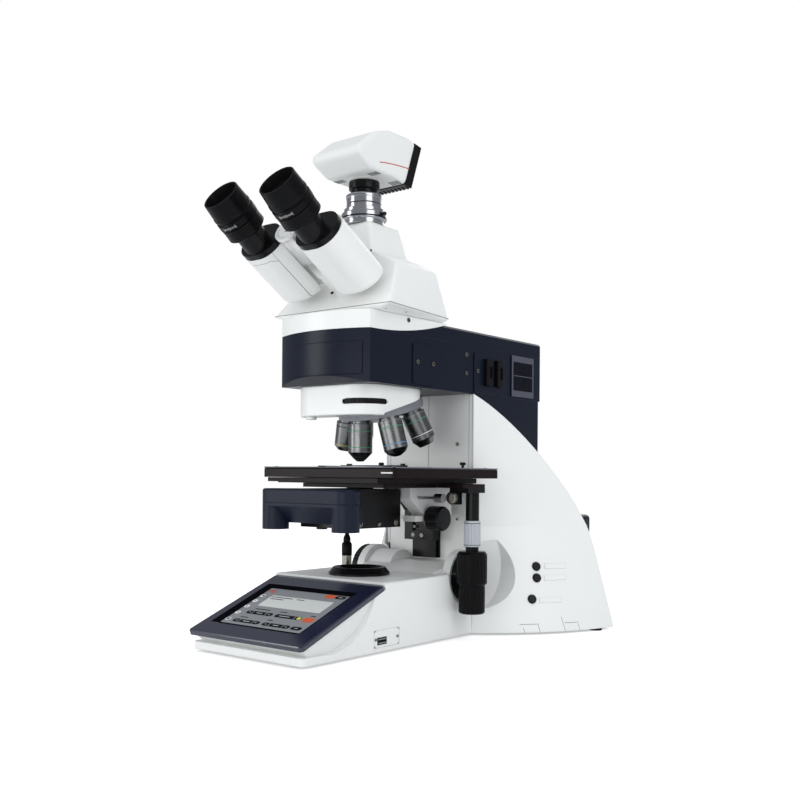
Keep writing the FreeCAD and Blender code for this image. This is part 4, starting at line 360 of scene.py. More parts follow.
def make_finish(name, colour, roughness, metallic=0.0, mottle=0.03, mottle_size=0.03, grain=0.0005,
                depth=0.00002, stretch=(1, 1, 1), specular=0.5, coat=0.0, edge=0.0005, anisotropic=0.0,
                sheen=0.0):
    """A finish with a slight change of colour and gloss, a grain, and softly rounded edges."""
    material = bpy.data.materials.new(name)
    material.use_nodes = True
    material.diffuse_color = (*colour, 1)
    tree = material.node_tree
    shader = tree.nodes["Principled BSDF"]
    cloud = noise(tree, 1 / mottle_size)
    darker = tuple(channel * (1 - mottle) for channel in colour)
    lighter = tuple(min(channel * (1 + mottle), 1) for channel in colour)
    tree.links.new(mix(tree, cloud, darker, lighter), shader.inputs["Base Color"])
    fine = noise(tree, 1 / grain, stretch, 3.0)
    tree.links.new(spread(tree, fine, roughness * 0.85, roughness * 1.15), shader.inputs["Roughness"])
    set_inputs(shader, {"Metallic": metallic, "Specular IOR Level": specular, "Coat Weight": coat,
                        "Coat Roughness": 0.12, "Anisotropic": anisotropic, "Sheen Weight": sheen})
    bevel = tree.nodes.new("ShaderNodeBevel")
    bevel.samples = 4
    bevel.inputs["Radius"].default_value = edge
    bump = tree.nodes.new("ShaderNodeBump")
    set_inputs(bump, {"Strength": 0.5, "Distance": depth})
    tree.links.new(fine, bump.inputs["Height"])
    tree.links.new(bevel.outputs["Normal"], bump.inputs["Normal"])
    tree.links.new(bump.outputs["Normal"], shader.inputs["Normal"])
    return material


# What each finish changes of make_finish. A colour given as a word is one of MicroscopeColours
FINISHES = {
    "white_enamel": dict(colour="housing", roughness=0.36, mottle=0.012, grain=0.0011, depth=0.000012,
                         coat=0.1, edge=0.0009),
    "camera_enamel": dict(colour="camera", roughness=0.42, mottle=0.012, grain=0.0009, edge=0.004),
    "navy_enamel": dict(colour="arm", roughness=0.3, mottle=0.12, grain=0.0006, depth=0.00004,
                        specular=0.2, edge=0.0009),
    "slate_enamel": dict(colour="condenser", roughness=0.38, mottle=0.15, grain=0.0006, depth=0.00005,
                         specular=0.22, edge=0.0012),
    "glossy_frame": dict(colour="bezel", roughness=0.18, mottle=0.05, grain=0.002, depth=0.000004,
                         specular=1.0, edge=0.0008),
    "screen": dict(colour="screen", roughness=0.3, grain=0.0004, depth=0.000004, specular=0.1, edge=0.0001),
    "black_plastic": dict(colour=(0.004, 0.004, 0.0045), roughness=0.26, mottle=0.2, depth=0.00003,
                          specular=0.2, edge=0.0004),
    "black_rubber": dict(colour=(0.004, 0.004, 0.0045), roughness=0.3, mottle=0.2, grain=0.0004,
                         depth=0.00003, specular=0.1, sheen=0.01),
    "steel": dict(colour=(0.36, 0.36, 0.37), roughness=0.3, metallic=1.0, mottle=0.1, grain=0.0004,
                  stretch=(1, 1, 12), anisotropic=0.5, edge=0.0003),
    "chrome": dict(colour=(0.52, 0.53, 0.55), roughness=0.16, metallic=1.0, mottle=0.08, grain=0.0003,
                   stretch=(1, 1, 14), depth=0.000008, anisotropic=0.6, edge=0.0003),
    "satin_chrome": dict(colour=(0.19, 0.195, 0.195), roughness=0.27, metallic=1.0, mottle=0.3,
                         mottle_size=0.004, grain=0.0004, depth=0.00001, anisotropic=0.4, edge=0.0003),
    "nickel": dict(colour=(0.34, 0.32, 0.28), roughness=0.26, metallic=1.0, mottle=0.1, depth=0.00001,
                   edge=0.0003),
    "stage_coat": dict(colour=(0.010, 0.006, 0.006), roughness=0.28, mottle=0.3, grain=0.0007,
                       depth=0.00003, specular=0.12, edge=0.0007),
    # Painted highlight: a lighter grey-blue for the stage's top chamfers, standing in for their reflection
    "stage_bevel": dict(colour=(0.13, 0.14, 0.16), roughness=0.3, mottle=0.1, grain=0.0006, edge=0.0003),
    "grey_aluminium": dict(colour=(0.34, 0.35, 0.38), roughness=0.42, metallic=0.3, mottle=0.08,
                           grain=0.0006, depth=0.00003, edge=0.0004),
    "white_aluminium": dict(colour=(0.66, 0.66, 0.65), roughness=0.4, grain=0.001, edge=0.0007),
    "pale_aluminium": dict(colour=(0.46, 0.48, 0.52), roughness=0.4, metallic=0.1, mottle=0.05,
                           grain=0.0006, edge=0.0004),
    "lead_sheath": dict(colour=(0.008, 0.008, 0.009), roughness=0.45, mottle=0.2, grain=0.0004,
                        specular=0.3, edge=0.0001),
    "turret_grey": dict(colour=(0.26, 0.27, 0.29), roughness=0.36, metallic=0.5, mottle=0.06,
                        grain=0.0006, edge=0.0007),
    "vent_slate": dict(colour=(0.075, 0.08, 0.105), roughness=0.4, mottle=0.06, specular=0.3, edge=0.0004),
    "glass_dark": dict(colour=(0.010, 0.009, 0.022), roughness=0.05, mottle=0.5, mottle_size=0.006,
                       depth=0.0, specular=0.8, edge=0.0001),
    "glass_pale": dict(colour=(0.42, 0.46, 0.47), roughness=0.08, mottle=0.05, coat=0.8, depth=0.0,
                       edge=0.0001),
}
FINISHES["head_enamel"] = dict(FINISHES["white_enamel"], edge=0.003)

# Finishes of thin marks: colour, roughness, mottle and specular level
MARKS = {
    "seam": ((0.02, 0.02, 0.02), 0.7, 0.2, 0.1),
    "pale_seam": ((0.24, 0.24, 0.22), 0.6, 0.1, 0.2),
    "panel_light": ((0.62, 0.64, 0.62), 0.35, 0.02, 0.5),
    # Dark print and lines, and painted shade in screw sockets, slots, louvres, grooves and the vent and
    # socket openings
    "ink_dark": ((0.006, 0.006, 0.009), 0.4, 0.1, 0.05),
    # Painted shade of the display's recess walls
    "well_black": ((0.004, 0.004, 0.006), 0.9, 0.2, 0.0),
    "ink_white": ((0.75, 0.76, 0.75), 0.45, 0.02, 0.5),
    "accent_red": ((0.55, 0.05, 0.03), 0.4, 0.05, 0.5),
    "accent_orange": ("accent", 0.4, 0.05, 0.5),
    "accent_yellow": ((0.80, 0.72, 0.10), 0.4, 0.05, 0.5),
    "ring_green": ((0.03, 0.30, 0.14), 0.35, 0.05, 0.5),
    "ring_blue": ((0.10, 0.33, 0.62), 0.35, 0.05, 0.5),
    "ring_yellow": ((0.62, 0.55, 0.08), 0.35, 0.05, 0.5),
}
for mark, (tone, rough, cloudy, shine) in MARKS.items():
    FINISHES[mark] = dict(colour=tone, roughness=rough, mottle=cloudy, specular=shine, edge=0.0001)


def finish(name):
    """The finish of this name, made the first time it is asked for."""
    made = bpy.data.materials.get(name + "_finish")
    if made:
        return made
    kind = dict(FINISHES[name])
    if isinstance(kind["colour"], str):
        kind["colour"] = getattr(bpy.context.scene.microscope_colours, kind["colour"])
    return make_finish(name + "_finish", **kind)


# Sizes and colours

def length(name, description, default):
    return bpy.props.FloatProperty(name=name, description=description, default=default, min=0.0,
                                   unit="LENGTH", subtype="DISTANCE", precision=4)


def tint(name, description, default):
    return bpy.props.FloatVectorProperty(name=name, description=description, default=default, size=3, min=0.0,
                                         max=1.0, subtype="COLOR")


class MicroscopeSizes(bpy.types.PropertyGroup):
    """Sizes of the trim that a user would change"""
    floor_width: length("Floor width", "Side of the studio floor", 8.0)
    seam_width: length("Seam width", "Width of the parting lines on the housings", 0.00045)
    band_width: length("Band width", "Width of the coloured rings on the objectives", 0.0007)
    lead_diameter: length("Lead diameter", "Diameter of the condenser lead", 0.0022)
    light_level: bpy.props.FloatProperty(name="Light level", description="Strength of all the lamps together",
                                         default=1.0, min=0.0, subtype="FACTOR")


class MicroscopeColours(bpy.types.PropertyGroup):
    """Colours of the main finishes"""
    housing: tint("Housing", "Off-white enamel of stand, head and tubes", (0.83, 0.84, 0.82))
    arm: tint("Arm", "Navy enamel of arm and rear housing", (0.005, 0.008, 0.019))
    condenser: tint("Condenser", "Slate enamel of the condenser casing", (0.005, 0.009, 0.023))
    bezel: tint("Display frame", "Glossy frame round the display", (0.009, 0.012, 0.035))
    screen: tint("Screen", "Background of the display's picture", (0.23, 0.24, 0.25))
    camera: tint("Camera", "Off-white casing of the camera", (0.80, 0.81, 0.79))
    accent: tint("Accent", "Orange keys on the display", (0.62, 0.10, 0.03))


# Operators, one for each group of pieces

class STAGE_OT_studio(bpy.types.Operator):
    """Floor, lamps, world and camera"""
    bl_idname = "microscope.studio"
    bl_label = "Studio"

    def execute(self, context):
        scene = context.scene
        scene.view_settings.view_transform = "Standard"
        self.make_floor(scene)
        self.make_world(scene)
        level = scene.microscope_sizes.light_level
        for name, place, width, height, power in (
                ("key_lamp", (1.9, -0.6, 1.3), 1.4, 1.4, 11.5),
                ("left_lamp", (-1.25, -1.6, 0.5), 0.6, 1.1, 7.6),
                ("front_lamp", (0.4, -2.3, 0.22), 1.8, 0.4, 7),
                ("top_lamp", (0.1, 0.1, 2.2), 1.8, 1.8, 5),
                ("rear_lamp", (-0.6, 2.0, 1.2), 1.2, 1.2, 6)):
            light = bpy.data.lights.new(name, "AREA")
            light.shape = "RECTANGLE"
            light.size, light.size_y = width, height
            light.energy = power * level
            lamp = placed(name, light)
            lamp.location = place
            lamp.rotation_euler = (Vector((0, 0, 0.25)) - Vector(place)).to_track_quat("-Z", "Y").to_euler()
        self.make_camera(scene)
        return {"FINISHED"}

    def make_floor(self, scene):
        bm = bmesh.new()
        bmesh.ops.create_grid(bm, x_segments=8, y_segments=8, size=scene.microscope_sizes.floor_width / 2)
        mesh = mesh_of("studio_floor", bm)
        material = bpy.data.materials.new("studio_white")
        material.use_nodes = True
        tree = material.node_tree
        shader = tree.nodes["Principled BSDF"]
        set_inputs(shader, {"Base Color": (0.86, 0.86, 0.86, 1), "Roughness": 0.9, "Specular IOR Level": 0.0})
        seen = tree.nodes.new("ShaderNodeLightPath").outputs["Is Camera Ray"]
        glow = tree.nodes.new("ShaderNodeEmission")
        glow.inputs["Strength"].default_value = 0.42
        both = tree.nodes.new("ShaderNodeAddShader")
        tree.links.new(shader.outputs[0], both.inputs[0])
        tree.links.new(glow.outputs[0], both.inputs[1])
        lit = either(tree, seen, shader.outputs[0], both.outputs[0])
        tree.links.new(lit, tree.nodes["Material Output"].inputs["Surface"])
        mesh.materials.append(material)
        placed("studio_floor", mesh)

    def make_world(self, scene):
        world = bpy.data.worlds.new("studio_world")
        world.use_nodes = True
        tree = world.node_tree
        sky = (0.92, 0.95, 1.0, 1)
        fill = tree.nodes["Background"]
        set_inputs(fill, {"Color": sky, "Strength": 0.79})
        shown = tree.nodes.new("ShaderNodeBackground")
        shown.inputs["Color"].default_value = (1, 1, 1, 1)
        mirrored = tree.nodes.new("ShaderNodeBackground")
        set_inputs(mirrored, {"Color": sky, "Strength": 0.3})
        path = tree.nodes.new("ShaderNodeLightPath")
        reached = either(tree, path.outputs["Is Glossy Ray"], fill.outputs[0], mirrored.outputs[0])
        reached = either(tree, path.outputs["Is Camera Ray"], reached, shown.outputs[0])
        tree.links.new(reached, tree.nodes["World Output"].inputs["Surface"])
        scene.world = world

    def make_camera(self, scene):
        data = bpy.data.cameras.new("front_camera")
        data.lens = 44.7
        data.sensor_width = 36
        data.shift_y = 0.0894
        data.clip_start, data.clip_end = 0.05, 50
        camera = placed("front_camera", data)
        turn = (Matrix.Rotation(math.radians(38.97), 4, "Z") @ Matrix.Rotation(math.radians(90.19), 4, "X")
                @ Matrix.Rotation(math.radians(0.464), 4, "Z"))
        camera.matrix_world = Matrix.Translation((0.6799, -0.8862, 0.1705)) @ turn
        scene.camera = camera


# Solids whose finish differs from the one of their slot
NODE_FINISHES = {
    "camera_body": "camera_enamel", "head_body": "head_enamel", "nosepiece_turret": "turret_grey",
    "drive_housing": "black_plastic", "torque_ring": "pale_aluminium", "lamp_housing": "navy_enamel",
    "usb_panel": "white_enamel", "stage_carriage": "black_plastic", "objectives": "satin_chrome",
    "stage_rail": "black_plastic",
}


class FINISH_OT_nodes(bpy.types.Operator):
    """Give every solid of the stand its finish"""
    bl_idname = "microscope.finishes"
    bl_label = "Finishes"

    def execute(self, context):
        for part in frame["record"]["subparts"]:
            node = part["node"]
            shown = frame["nodes"][node]
            shown.data.materials.clear()
            shown.data.materials.append(finish(NODE_FINISHES.get(node, part["material_slot"])))
        return {"FINISHED"}


# The display's picture. A group shares tallness, corner and thickness. Each plate has its middle, height and
# width, and its own tallness and corner where they differ
SCREEN_MARKS = (
    ("screen_panel", "panel_light", (22, 1.5, 0.10), ((3.5, 70, 83),)),
    ("screen_keys", "ink_dark", (5.6, 2.7, 0.16),
     ((-21.5, 45.6, 35), (17, 45.6, 34.5), (-23, 28.8, 36), (16.8, 28.8, 35.5), (43.2, 28.8, 13),
      (44.8, 90.6, 12.5))),
    ("screen_accents", "accent_orange", (8, 2.5, 0.16), ((43.6, 45.0, 13), (31.8, 90.6, 13, 7))),
    ("screen_sign", "accent_red", (2.2, 0.8, 0.14), ((-46, 89.5, 9), (-44, 86.8, 7, 1.6, 0.6))),
    ("screen_lamp_dot", "accent_yellow", (4.4, 2.1, 0.22), ((31.2, 45.6, 4.4),)),
    ("screen_icons", "ink_white", (5.2, 2.2, 0.14),
     tuple((-49, high, 6.4) for high in (78, 67, 55.5, 42.5, 29.5))),
    ("screen_icon_marks", "ink_dark", (2.4, 0.6, 0.2),
     ((-48, 78, 3.2), (-49, 67, 2.2, 0.8), (-49.6, 55.5, 1.2, 2.6), (-48.4, 42.5, 3.4, 1),
      (-49, 29.5, 3.6, 3))),
    ("screen_lines", "ink_dark", (1.1, 0.4, 0.18),
     ((-22, 78.0, 30), (3.5, 78.0, 10), (-26, 74.4, 18), (-24, 52.8, 20), (4.7, 52.8, 9), (43.6, 52.4, 6),
      (-32.6, 35.6, 10), (2.3, 36.2, 7))),
    ("screen_key_marks", "panel_light", (0.7, 0.3, 0.24),
     ((-34.5, 45.6, 2), (-21.5, 45.6, 8), (-8.5, 45.6, 2), (12, 45.6, 14), (-36, 28.8, 2), (-23, 28.8, 9),
      (-10, 28.8, 2), (3.6, 28.8, 2), (16.8, 28.8, 7), (30, 28.8, 2), (43.2, 28.8, 4), (44.8, 90.6, 5))),
    ("screen_key_seams", "panel_light", (5.0, 0.1, 0.2),
     tuple((middle, high, 0.35) for middle, high in (
         (-30.5, 45.6), (-12.5, 45.6), (25.5, 45.6), (-32, 28.8), (-14, 28.8), (8, 28.8), (25.6, 28.8)))),
)


class DISPLAY_OT_picture(bpy.types.Operator):
    """The display's picture: panel, keys and marks, and painted shade on the walls of the screen's recess"""
    bl_idname = "microscope.display"
    bl_label = "Display picture"

    def execute(self, context):
        screen = turned_place(0, -162.0, 20.6, DISPLAY_TILT)
        for name, ink, shared, plates in SCREEN_MARKS:
            with piece(name, "screen", ink) as bm:
                for plate in plates:
                    middle, high, width, tall, corner, thick = (*plate, *shared[len(plate) - 3:])
                    add_plate(bm, moved(screen, middle, high, -0.32), width, tall, thick, corner, 5)
        # Painted shade: black plates inside the frame, widest at the left and top, stand in for the shaded
        # walls of the screen's recess
        with piece("screen_border", "glossy_frame", "well_black") as bm:
            for middle, high, width, tall in ((-58.2, 61.3, 11.6, 82.2), (0.9, 98.4, 107.8, 8.0),
                                              (1.0, 20.4, 108, 2), (54.9, 60.9, 1.4, 83)):
                add_plate(bm, moved(screen, middle, high, -0.02), width, tall, 0.1, 0.4, 2)
        return {"FINISHED"}


class LENS_OT_glasses(bpy.types.Operator):
    """Lenses of deck, condenser, eyepieces and objectives"""
    bl_idname = "microscope.lenses"
    bl_label = "Lenses"

    def execute(self, context):
        for name, body, z, radius, height in (("field_lens", "stand", 67.6, 19.6, 2.6),
                                              ("condenser_lens", "condenser", 159.9, 9.5, 0.7)):
            with piece(name, "screen", "glass_pale", body) as bm:
                add_dome(bm, turned_place(0, 0, z), radius, height)
        for side, x in EYES:
            with piece("eye_lens_" + side, "glossy_frame", "glass_dark", "eyepiece_" + side) as bm:
                add_dome(bm, tube_place(x, 129.1), 11.2, 1.6)
            with piece("eye_lens_rim_" + side, "black_plastic", body="eyepiece_" + side) as bm:
                add_band(bm, tube_place(x, 129.0), 12.2, 0, 1.6, 0.6)
        with piece("objective_lenses", "glossy_frame", "glass_dark", "turret") as bm:
            for number, long, radius in ((0, 41, 1.6), (1, 32.5, 4.6), (2, 30, 5.2), (5, 38.5, 3.6),
                                         (6, 40, 1.8)):
                add_dome(bm, moved(turret_place(number), z=long - 0.3), radius, 0.25, 24, 0.3)
        return {"FINISHED"}


class OBJECTIVE_OT_bands(bpy.types.Operator):
    """Coloured rings, grooves and black noses of the objectives"""
    bl_idname = "microscope.objective_bands"
    bl_label = "Objective bands"

    def execute(self, context):
        wide = context.scene.microscope_sizes.band_width * 1000
        rings = {"ring_green": ((0, 9.6), (0, 26.5), (5, 10.2), (6, 10.0)), "ring_blue": ((6, 27.5),),
                 "ring_yellow": ((1, 26.0), (2, 22.0)), "ink_white": ((5, 25.6),),
                 "seam": ((1, 6.4), (2, 6.0))}
        for ink, places in rings.items():
            with piece("objective_" + ink, "chrome", ink, "turret") as bm:
                for number, height in places:
                    add_band(bm, turret_place(number), OBJECTIVE_RADIUS, height, height + wide, 0.05)
        with piece("objective_grooves", "steel", "grey_aluminium", "turret") as bm:
            for number in (0, 1, 2, 5, 6):
                for height in (3.4, 4.6, 31.2 if number in (0, 6) else 28.0):
                    add_band(bm, turret_place(number), OBJECTIVE_RADIUS, height, height + 0.28, 0.03)
        with piece("objective_black_nose", "black_plastic", body="turret") as bm:
            where = turret_place(0)
            add_turned(bm, where, ((12.56, 32.0), (8.28, 36.5), (8.0, 36.5), (12.2, 32.0), (12.56, 32.0)), 96)
            add_turned(bm, where, ((8.0, 37.0), (3.5, 41.02), (2.2, 41.02), (7.0, 36.8), (8.0, 37.0)), 96)
        with piece("objective_scale_marks", "chrome", "ink_dark", "turret") as bm:
            for number, steps in ((0, (14.5, 17.0, 20.5)), (1, (17.0, 19.0)), (5, (15.5, 18.0)),
                                  (6, (15.0, 18.5, 21.0))):
                for row, height in enumerate(steps):
                    for tick in range(7 - row * 2):
                        angle = math.radians(235 + (tick + row) * 11)
                        where = turret_place(number) @ Matrix.Rotation(angle, 4, "Z")
                        side = moved(where, x=OBJECTIVE_RADIUS + 0.02, z=height) @ OUTWARD
                        add_plate(bm, side, 0.9, 1.3, 0.05, 0.3, 2)
        return {"FINISHED"}


class EYEPIECE_OT_details(bpy.types.Operator):
    """Grip rings and setting marks of the eyepieces, and marks of the distance dial"""
    bl_idname = "microscope.eyepiece_details"
    bl_label = "Eyepiece details"

    def execute(self, context):
        for side, x in EYES:
            body = "eyepiece_" + side
            with piece("grip_rings_" + side, "black_rubber", "black_plastic", body) as bm:
                for height, radius in ((99.6, 19.85), (101.4, 19.85), (110.6, 19.8), (122.6, 20.0),
                                       (124.6, 19.9)):
                    add_band(bm, tube_place(x), radius, height, height + 0.7, 0.16)
            with piece("setting_marks_" + side, "black_rubber", "ink_white", body) as bm:
                for tick in range(9):
                    angle = math.radians(-98 + tick * 5)
                    tall = 3.2 if tick % 4 == 0 else 1.8
                    where = tube_place(x) @ Matrix.Rotation(angle, 4, "Z")
                    mark = moved(where, x=20.3, z=116) @ OUTWARD
                    add_plate(bm, mark, tall, 0.45, 0.06, 0.1, 2)
        dial = moved(housing_place(), y=11, z=9.3)
        with piece("dial_marks", "black_plastic", "seam", "ipd_dial") as bm:
            for tick in range(13):
                where = dial @ Matrix.Rotation(math.radians(180 + tick * 15), 4, "Z")
                add_plate(bm, moved(where, x=11.6), 3.0 if tick % 3 == 0 else 1.8, 0.5, 0.06, 0.2, 2)
            add_plate(bm, moved(dial, y=-4), 5, 0.7, 0.06, 0.3, 2)
        with piece("dial_hub", "white_enamel", "white_aluminium", "ipd_dial") as bm:
            add_turned(bm, dial, ((0, 0.5), (2.2, 0.5), (2.8, 0.1), (2.8, -0.3), (0, -0.3)), 32)
        return {"FINISHED"}


class CASING_OT_forms(bpy.types.Operator):
    """Softly rounded head and camera casings, and the rounded rear of the nosepiece housing"""
    bl_idname = "microscope.casings"
    bl_label = "Rounded casings"

    def execute(self, context):
        take_over("camera_casing", "camera_body", "camera_enamel", 0.0011, 16)
        take_over("head_casing", "head_body", "head_enamel", 0.0013, 10, exact_before=spot(0, -56, 0).y)
        bm = bmesh.new()
        add_plate(bm, turned_place(0, -44, 200), 104.4, 212.4, 80, 44, 24)
        cutter = placed("nosepiece_cutter", mesh_of("nosepiece_cutter", bm))
        context.view_layer.update()
        take_over("nosepiece_casing", "nosepiece_housing", "white_enamel", 0.0008, 2, cutter=cutter)
        bpy.data.objects.remove(cutter)
        return {"FINISHED"}


class HEAD_OT_fittings(bpy.types.Operator):
    """Seams and screws of head, tube housings and neck, and the camera sleeve with painted shade in its
    grooves
    """
    bl_idname = "microscope.head_fittings"
    bl_label = "Head fittings"

    def execute(self, context):
        seam = context.scene.microscope_sizes.seam_width
        for side, x in EYES:
            hand = -1 if side == "right" else 1
            place = housing_place(x)
            back = place.inverted()

            def local(centre, back=back, hand=hand):
                found = back @ centre * 1000
                return Vector((found.x * hand, found.y, found.z))

            runs = (((0, -6.5), (0, 1), lambda at: -9 < at.x < 14.2 and at.y < 0),
                    ((16.6, -9), (-1, -1.05), lambda at: at.x > 14.0 and at.y < 0 and -11.6 < at.z < -6.2),
                    ((18.9, -40), (1, 0), lambda at: at.y < 0 and -69 < at.z < -11.4))
            with piece("housing_seam_" + side, "white_enamel", "pale_seam", "tube_" + side) as bm:
                for (sideways, height), (across, along), inside in runs[0 if hand == 1 else 2:]:
                    add_seam(bm, "tube_housing_" + side,
                             moved(place, x=sideways * hand, z=height).translation,
                             place.to_3x3() @ Vector((across * hand, 0, along)), seam,
                             lambda centre, inside=inside: inside(local(centre)))
        with piece("head_flange_seam", "white_enamel", "pale_seam") as bm:
            add_seam(bm, "head_body", spot(0, 0, 335.2), (0, 0, 1), seam * 1.3,
                     lambda centre: abs(centre.x) > 0.056
                     or not spot(0, -44, 0).y <= centre.y <= spot(0, 64, 0).y)
        with piece("bridge_screw", "nickel", "seam") as bm:
            add_screw(bm, facing(spot(-3.8, -40.6, 353.2), (0, -0.81, 0.59)), 1.7, 0.8)
            add_screw(bm, on_skin("head_body", spot(28.4, -18.5, 396.2)), 1.0, 0.3)
        with piece("neck_screws", "nickel") as bm:
            for y, z in ((-39.2, 330.9), (-8.3, 331.6)):
                add_screw(bm, on_skin("head_body", spot(65.9, y, z)), 0.9, 0.2)
        with piece("tube_clamp_screw", "black_plastic") as bm:
            add_turned(bm, facing(spot(23.2, 3, 437.5), (1, 0, 0)),
                       ((0, 6), (1.6, 6), (2.0, 5.4), (2.0, 0.6), (2.6, 0.2), (2.6, -1.5), (0, -1.5)), 32)
        with piece("camera_sleeve", "chrome") as bm:
            middle = turned_place(0, 3, 0)
            add_turned(bm, middle, ((17.2, 441.2), (20.4, 441.2), (20.8, 441.6), (20.8, 444.6), (20.4, 445.0),
                                    (18.3, 445.2), (18.3, 449.6), (17.7, 449.9), (17.7, 450.5), (18.3, 450.8),
                                    (18.3, 456.2), (18.9, 456.5), (18.9, 458.9), (18.5, 459.5), (17.2, 459.5),
                                    (17.2, 441.2)), 96)
        # Painted shade: dark bands fill the grooves of the sleeve
        with piece("camera_sleeve_grooves", "black_plastic", "ink_dark") as bm:
            add_band(bm, middle, 23.5, 434.6, 436.0, 0.15)
            add_band(bm, middle, 17.7, 449.95, 450.45, 0.1)
        return {"FINISHED"}


class CAMERA_OT_trim(bpy.types.Operator):
    """Stripes of the camera, and its underside grille, whose slots are dark strips of painted shade"""
    bl_idname = "microscope.camera_trim"
    bl_label = "Camera trim"

    def execute(self, context):
        for name, side in (("right", 1), ("left", -1)):
            with piece("camera_stripe_" + name, "white_enamel", "accent_red") as bm:
                points = [spot(side * 32.0, y, z) for y, z in (
                    (-10, 486.2), (2, 488.1), (14, 489.4), (26, 490.3), (37.5, 490.8))]
                for start, end in zip(points, points[1:]):
                    add_strip(bm, start, end, (side, 0, 0), 1.0, 0.06)
        # Painted shade: dark strips stand in for the grille's slots
        with piece("camera_grille", "black_plastic", "ink_dark") as bm:
            for row in range(5):
                for side in (-1, 1):
                    for y in (-9, 24):
                        under = on_skin("camera_body", spot(side * (18 + row * 2.6), y, 470), (0, 1, 0))
                        add_plate(bm, under, 1.3, 9, 0.1, 0.6, 4)
        return {"FINISHED"}


class STAGE_OT_fittings(bpy.types.Operator):
    """Specimen slide, scales, screws and posts of the stage, with painted highlights along its top front and
    right edges
    """
    bl_idname = "microscope.stage_fittings"
    bl_label = "Stage fittings"

    def execute(self, context):
        with piece("specimen_slide", "screen", "glass_pale", "stage_x") as bm:
            add_plate(bm, turned_place(0, 0, STAGE_TOP + 0.02), 76, 26, 1.0, 0.5, 3)
        with piece("slide_label", "screen", "panel_light", "stage_x") as bm:
            add_plate(bm, turned_place(0, 0, STAGE_TOP + 1.0), 20, 20, 0.15, 0.3, 2)
            add_plate(bm, turned_place(-28, 0, STAGE_TOP + 1.0), 17, 24, 0.06, 0.5, 3)
        with piece("stage_scales", "stage_coat", "ink_white", "stage_x") as bm:
            for tick in range(41):
                long = 3.2 if tick % 5 == 0 else 1.8
                where = turned_place(-40 + tick * 2, -56 + long / 2, STAGE_TOP)
                add_plate(bm, where, 0.25, long, 0.05, 0.1, 2)
            for tick in range(31):
                long = 3.2 if tick % 5 == 0 else 1.8
                where = turned_place(88 - long / 2, -30 + tick * 2, STAGE_TOP)
                add_plate(bm, where, long, 0.25, 0.05, 0.1, 2)
        with piece("stage_screws", "nickel", "steel", "stage_x") as bm:
            for x, y in ((-70, -52), (-70, 100), (88, -52), (88, 100), (-50, 40), (60, 40)):
                add_screw(bm, turned_place(x, y, STAGE_TOP), 2.0, 0.5)
        with piece("stage_posts", "black_plastic", body="stage_x") as bm:
            for x in (-52, 62):
                add_turned(bm, turned_place(x, 96, STAGE_TOP),
                           ((0, 6.4), (2.4, 6.4), (3.2, 5.6), (3.2, 3.6), (1.4, 3.2), (1.4, 0), (0, 0)), 32)
        # Painted highlight: lighter strips on the top front and right edges stand in for the chamfers'
        # reflection
        with piece("stage_bevels", "stage_coat", "stage_bevel", "stage_x") as bm:
            for start, end, normal in (((-77, -62.5), (95, -62.5), (0, -1, 0.8)),
                                       ((96.9, -60.6), (96.9, 111), (1, 0, 0.8))):
                add_strip(bm, spot(*start, STAGE_TOP - 0.55), spot(*end, STAGE_TOP - 0.55), normal, 1.3, 0.12)
        # A short white dash on the front of the stage, below its top
        with piece("stage_edge_mark", "stage_coat", "ink_white", "stage_x") as bm:
            add_plate(bm, facing(spot(88, -62.62, 172.2), (0, -1, 0)), 14, 1.3, 0.08, 0.4, 3)
        return {"FINISHED"}


